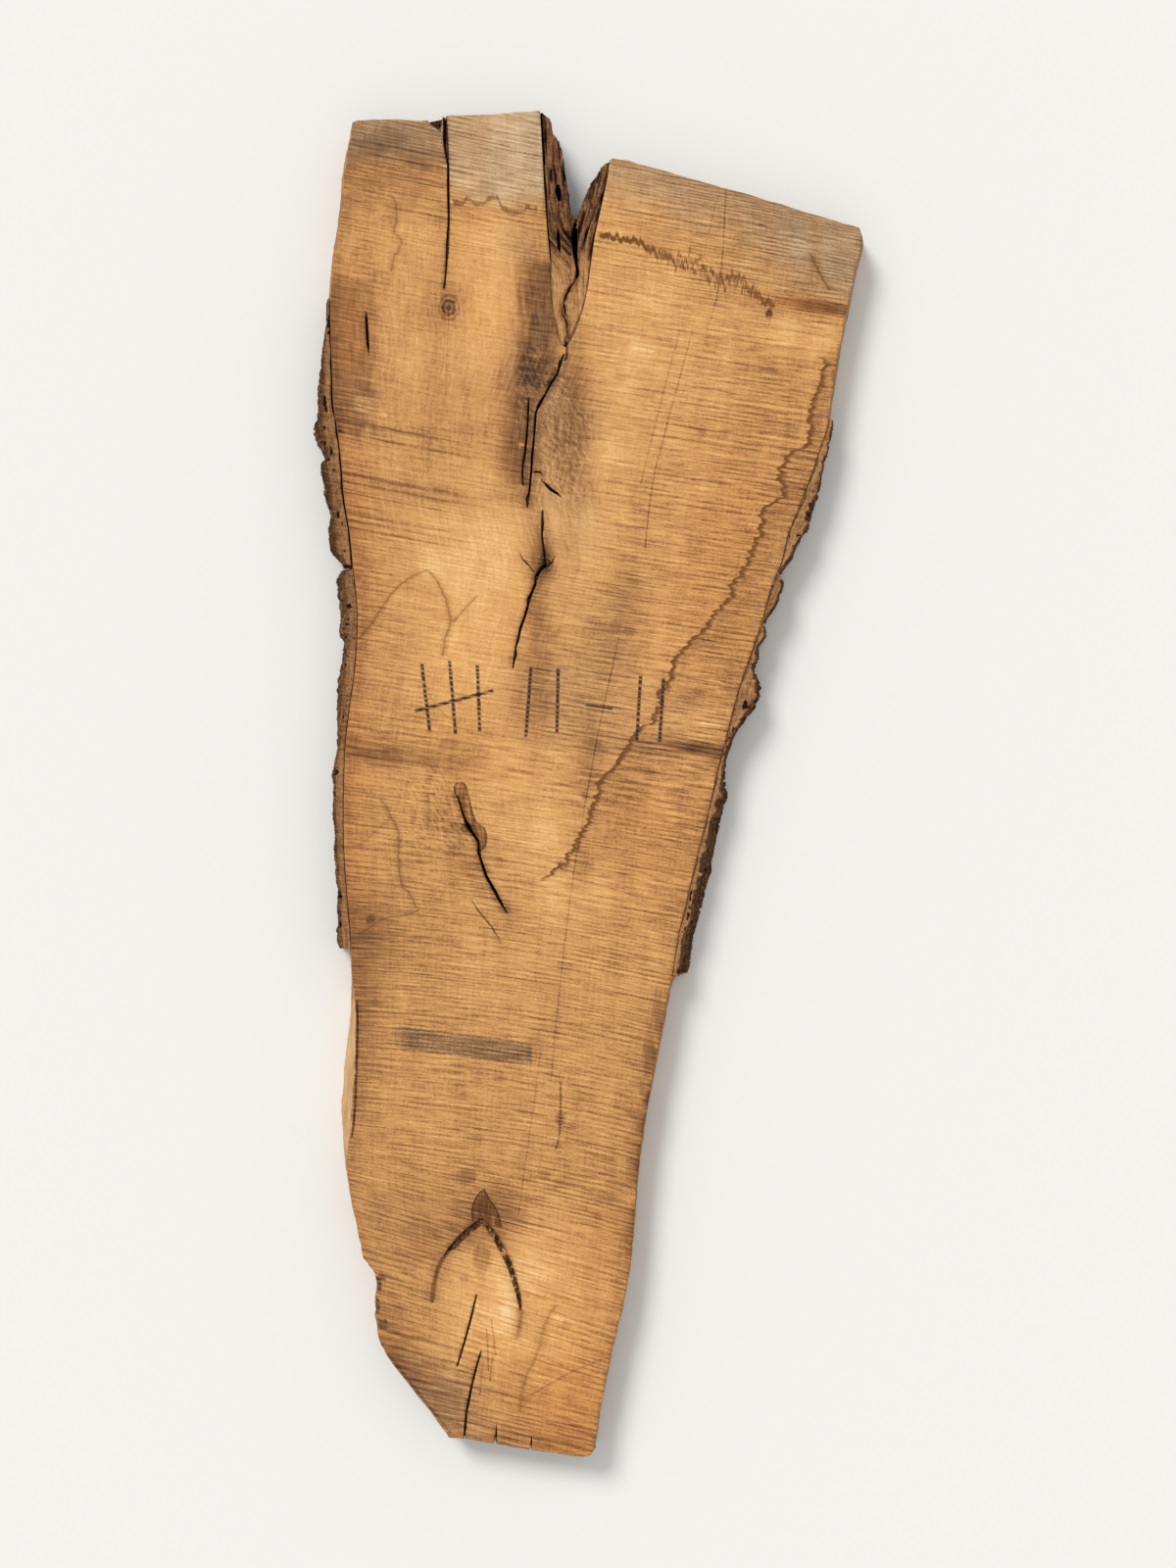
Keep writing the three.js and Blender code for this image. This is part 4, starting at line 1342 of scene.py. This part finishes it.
def makeBarkStrip(node, side, seed, slope):
    mesh = copyWithFineWalls(node, barkRelief["longestEdge"])
    points, normals = pointsOf(mesh), wallNormals(mesh)
    x, y, z = points.T
    innerSide = normals[:, 0] * side < -0.3
    thickness = toInnerSide(points, innerSide)
    most = barkRelief["shareOfThickness"] * (0.85 + 0.3 * softNoise(y / 6, z / 6, 0, seed + 5))
    wear = np.minimum(barkWear(points, slope, seed), most * thickness)
    parted = 2.0 * smoothStep(z, 46, 54) * (node == mostParted)
    wear = np.where(innerSide, parted * (1 + 0.5 * softNoise(y / 20, 0, 0, seed)), wear)
    points -= normals * wear[:, None]
    movePoints(mesh, points)
    writeField(mesh, "barkRelief", 1 - (wear - leanOf(slope, y, z)) / 9, thickness, z)

    def crevices(x, y):
        # the layers of the bark have parted, and crumbs have fallen out between them
        across = beyondEdge(x, y, side)
        parted = smoothStep(layeredNoise(across / 4.2, y / 40, 0, seed + 6, 2), 0.3, 0.7)
        lost = smoothStep(softNoise(x / 5, y / 8, 0, seed + 8), 0.45, 0.9) * smoothStep(across, 5, 13)
        crumbs = 0.5 * (1 + softNoise(x / 4, y / 4, 0, seed + 7))
        return barkRelief["parting"] * parted + barkRelief["lost"] * lost + crumbs

    first, *words = node.split("_")
    strip = newPiece(first + "".join(word.capitalize() for word in words), mesh)
    low, high = points.min(0) - 8, points.max(0) + 8
    span = 0.3 * max(abs(low[0]), abs(high[0])) + 40
    extent = (low[0], high[0], low[1] - span, high[1] + span)
    keepInside(strip, sawnTopBlock(*extent, 2.0, crevices))
    keepInside(strip, sawnBottomBlock(*extent))
    barkFields(strip.data, side)
    normals, centres = faceArrays(strip.data)
    nearSaw = (centres[:, 2] > slab["top"] - 2) | (centres[:, 2] < 1.5)
    onFace = (np.abs(normals[:, 2]) > levelRise) & nearSaw
    dress(strip, node, (sawnBark, scalyBark), np.where(onFace, 0, 1), 50)


def barkFields(mesh, side):
    # how far out of the wood each point lies, and its share of the bark's width there
    x, y, _ = pointsOf(mesh).T
    across = beyondEdge(x, y, side)
    bins = np.round(y / 6)
    widest = {b: across[bins == b].max() for b in np.unique(bins)}
    reach = np.array([widest[b] for b in bins])
    writeField(mesh, "barkCut", markPhase(x, y), across, across / np.maximum(reach, 3))


# The bark grown in between the two limbs

forkStrands = {
    "across": 1.3,  # grid spacing across the strands and along them
    "along": 2.6,
    "longestEdge": 3.2,
    "clefts": 5.0,
    "strands": 1.2,
    "heart": 1.6,  # the hollow down the middle
    "rot": 2.4,  # the pits towards the mouth
    "crack": 5.0,
    "crackHalf": 2.4,
}
forkBox = {"left": -90, "right": 50, "low": 610, "high": 1010}
# The crack that runs from the hollow down to the seam, as (y, x)
forkCrack = [(760, -16), (742, -20), (724, -33), (700, -37), (680, -31), (655, -32), (632, -37)]


def forkAcross(x, y):
    # how far a point lies from each limb, its share of the way between them, and the strands' own x
    left, right = follow(forkLeftTrack, y), follow(forkRightTrack, y)
    share = np.clip((x - left) / np.maximum(right - left, 2), 0, 1)
    near = np.where(share < 0.5, x - left, x - right)
    return x - left, right - x, share, x + (near - x) * smoothStep(y, 740, 830)


def meetWood(points, normals):
    # the bark touches the wood below the face, and on the face wherever no gap shows
    tree = woodTree()
    for k, point in enumerate(points):
        nearest, _, _, away = tree.find_nearest(point, 4)
        if nearest is None or away < 0.1 or not normals[k].any():
            continue
        onLeft = point[0] < follow(forkCrack, point[1])
        parted = onLeft and point[1] > 775 and point[2] > slab["splitsCloseBelow"]
        if not parted:
            points[k] += (np.array(nearest) - point) * (1 - 0.25 / away) * (away > 0.25)


def forkDepth(x, y):
    # how deep the strands, the clefts, the hollow and the crack go below the sawn face
    _, _, share, strands = forkAcross(x, y)
    strand = 0.5 + 0.5 * layeredNoise(strands / 3.4, y / 42, 0, 72, 3)
    rotten = smoothStep(y, 750, 810)
    cleft = softNoise(strands / 2.4, y / 30, 0, 73)
    cleft = smoothStep(cleft, 0.6 - 0.35 * rotten, 1.05 - 0.2 * rotten)
    heart = np.exp(-((share - 0.5) / 0.13) ** 2) * smoothStep(y, 720, 790)
    pits = 0.5 + 0.5 * layeredNoise(strands / 4, y / 12, 0, 74, 2)
    down = forkStrands["strands"] * strand + forkStrands["clefts"] * cleft * (0.4 + 0.6 * rotten)
    down = down + forkStrands["heart"] * heart + forkStrands["rot"] * rotten * pits
    offCrack = np.abs(x - follow(forkCrack, y) + 2.2 * softNoise(y / 7, 0, 0, 75))
    crackHalf = forkStrands["crackHalf"] + 1.6 * softNoise(y / 12, 0, 0, 76)
    openCrack = smoothStep(crackHalf - offCrack, 0, 1.8) * smoothStep(770 - y, 0, 20)
    return np.maximum(down + forkStrands["crack"] * openCrack, 0)


def forkTopBlock():
    width, length = forkBox["right"] - forkBox["left"], forkBox["high"] - forkBox["low"]
    columns = np.linspace(forkBox["left"], forkBox["right"], round(width / forkStrands["across"]) + 1)
    rows = np.linspace(forkBox["low"], forkBox["high"], round(length / forkStrands["along"]) + 1)

    def placeOf(x, y, _):
        return np.stack([x, y, slab["top"] - 0.2 - forkDepth(x, y)], 1)

    return roughBlock(columns, rows, placeOf, blockFloor)


def makeForkBark():
    mesh = copyWithFineWalls("bark_fork", forkStrands["longestEdge"])
    points, normals = pointsOf(mesh), wallNormals(mesh)
    x, y, z = points.T
    toLeft, toRight, _, _ = forkAcross(x, y)
    toLimb = np.minimum(toLeft, toRight)
    inMouth = (toLimb > 7) & (y > 826) | (y > 915)
    rough = 1.2 + 2.6 * (0.5 + 0.5 * layeredNoise(x / 9, z / 7, y / 9, 71, 3))
    wear = np.where(inMouth, np.minimum(rough, 0.3 * toLimb + 1), 0)
    meetWood(points, normals)
    points -= normals * np.maximum(wear, 0)[:, None]
    movePoints(mesh, points)
    fork = newPiece("barkFork", mesh)
    keepInside(fork, forkTopBlock())
    extent = (forkBox["left"], forkBox["right"], forkBox["low"] - 10, forkBox["high"] + 10)
    keepInside(fork, sawnBottomBlock(*extent))
    mesh = fork.data
    x, y, z = pointsOf(mesh).T
    toLeft, toRight, share, strands = forkAcross(x, y)
    writeField(mesh, "barkCut", markPhase(x, y), strands, np.minimum(toLeft, toRight))
    writeField(mesh, "barkRelief", (z - slab["top"]) / 6, share, z)
    _, centres = faceArrays(mesh)
    kinds = np.where(centres[:, 2] > slab["top"] - 9, 0, 1)
    dress(fork, "bark_fork", (forkBarkFinish(), scalyBark), kinds, 55)


forkLook = {
    "roughness": 0.86, "specular": 0.14, "relief": (0.7, 0.8), "level": 0.62, "strand": 0.22,
    "broad": 0.14, "fleck": 0.16, "stroke": 0.1, "depth": 0.42, "rotten": -0.15,
    "rottenStrand": 0.2, "rottenGap": -0.36, "gap": -0.2, "crack": -0.3, "rim": -0.25,
    "tones": [
        (0.0, (26, 16, 11)), (0.2, (84, 52, 32)), (0.42, (150, 104, 66)), (0.62, (198, 146, 92)),
        (0.8, (222, 172, 112)), (1.0, (240, 200, 150)),
    ],
}


def forkBarkFinish():
    inner = Finish("grownInBark", forkLook)
    x, y, _ = inner.place()
    phase, strands, thin = inner.field("barkCut")
    depth, _, _ = inner.field("barkRelief")
    strand = inner.noise(strands / 2.2, y / 34, 1.5, 3, 0.6)
    broad = inner.noise(strands / 7, y / 90, 2.5, 2)
    fleck = inner.noise(x / 2.8, y / 6, 3.5, 3, 0.7)
    stroke = inner.noise(x / 26, phase * 2.1, 5.9, 3, 0.62)
    rotten = y.step(755, 800)
    drawn, inside = y.curve(forkCrack)
    nearCrack = abs(x - drawn + 2 * fleck).step(9, 1) * inside
    # painted shade where the strands lie deeper, and along the gaps to both limbs
    level = inner.weigh(
        strand=strand, broad=broad, fleck=fleck, stroke=stroke, depth=depth.atLeast(-1.6),
        rotten=rotten, rottenStrand=rotten * strand, rottenGap=rotten * (strand + broad).step(0.2, 0.8),
        gap=(strand + 0.6 * fleck).step(0.6, 1.3), crack=nearCrack * (0.6 + 0.8 * strand),
        rim=thin.step(1.6, 0.4),
    )
    return inner.toned(level, strand + fleck)


makeWood()
sawnBark, scalyBark = sawnBarkFinish(), scalyBarkFinish()
for node, (side, seed, slope) in barkStrips.items():
    makeBarkStrip(node, side, seed, slope)
makeForkBark()


# The floor, the light and the camera

studio = {
    "floorSize": 90.0,  # metres
    "floor": {"roughness": 0.9, "specular": 0.0, "colour": (0.9, 0.888, 0.85, 1)},
    "sky": 0.6,
    "sun": 1.9,
    "sunHeight": 42,  # degrees above the floor
    "sunSide": -35,  # degrees to the right of the forked end
    "sunAngle": 22,
    "frameHeight": 2.32,  # of the upper face, in metres, as the camera frames it
    "lens": 50,
    "sensor": 36,
}


def makeFloor():
    bm = bmesh.new()
    bmesh.ops.create_grid(bm, x_segments=1, y_segments=1, size=studio["floorSize"] / 2)
    floor = newPiece("floor", meshFrom(bm, "floor"))
    paper = Finish("paleFloor", studio["floor"])
    floor.data.materials.append(paper.finishWith(studio["floor"]["colour"]))
    floor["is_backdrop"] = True


def makeLight():
    world = bpy.data.worlds.new("studio")
    bpy.context.scene.world = world
    world.use_nodes = True
    world.node_tree.nodes["Background"].inputs[0].default_value = (1, 1, 1, 1)
    world.node_tree.nodes["Background"].inputs[1].default_value = studio["sky"]

    light = bpy.data.lights.new("softSun", "SUN")
    light.energy = studio["sun"]
    light.angle = math.radians(studio["sunAngle"])
    sun = newPiece("softSun", light)
    height, side = math.radians(studio["sunHeight"]), math.radians(studio["sunSide"])
    fromSun = Vector((
        math.sin(side) * math.cos(height), math.cos(side) * math.cos(height), math.sin(height),
    ))
    sun.rotation_mode = "QUATERNION"
    sun.rotation_quaternion = fromSun.to_track_quat("Z", "Y")


def makeCamera():
    camera = newPiece("camera", bpy.data.cameras.new("camera"))
    camera.data.lens = studio["lens"]
    camera.data.sensor_width = studio["sensor"]
    distance = studio["frameHeight"] * studio["lens"] / studio["sensor"]
    camera.location = (0, 0, slab["top"] * mm + distance)
    bpy.context.scene.camera = camera
    bpy.context.scene.view_settings.view_transform = "Standard"


makeFloor()
makeLight()
makeCamera()
print("studio set")

both = [[list(corner) for corner in bounds] for bounds in (boundsOfCad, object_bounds())]
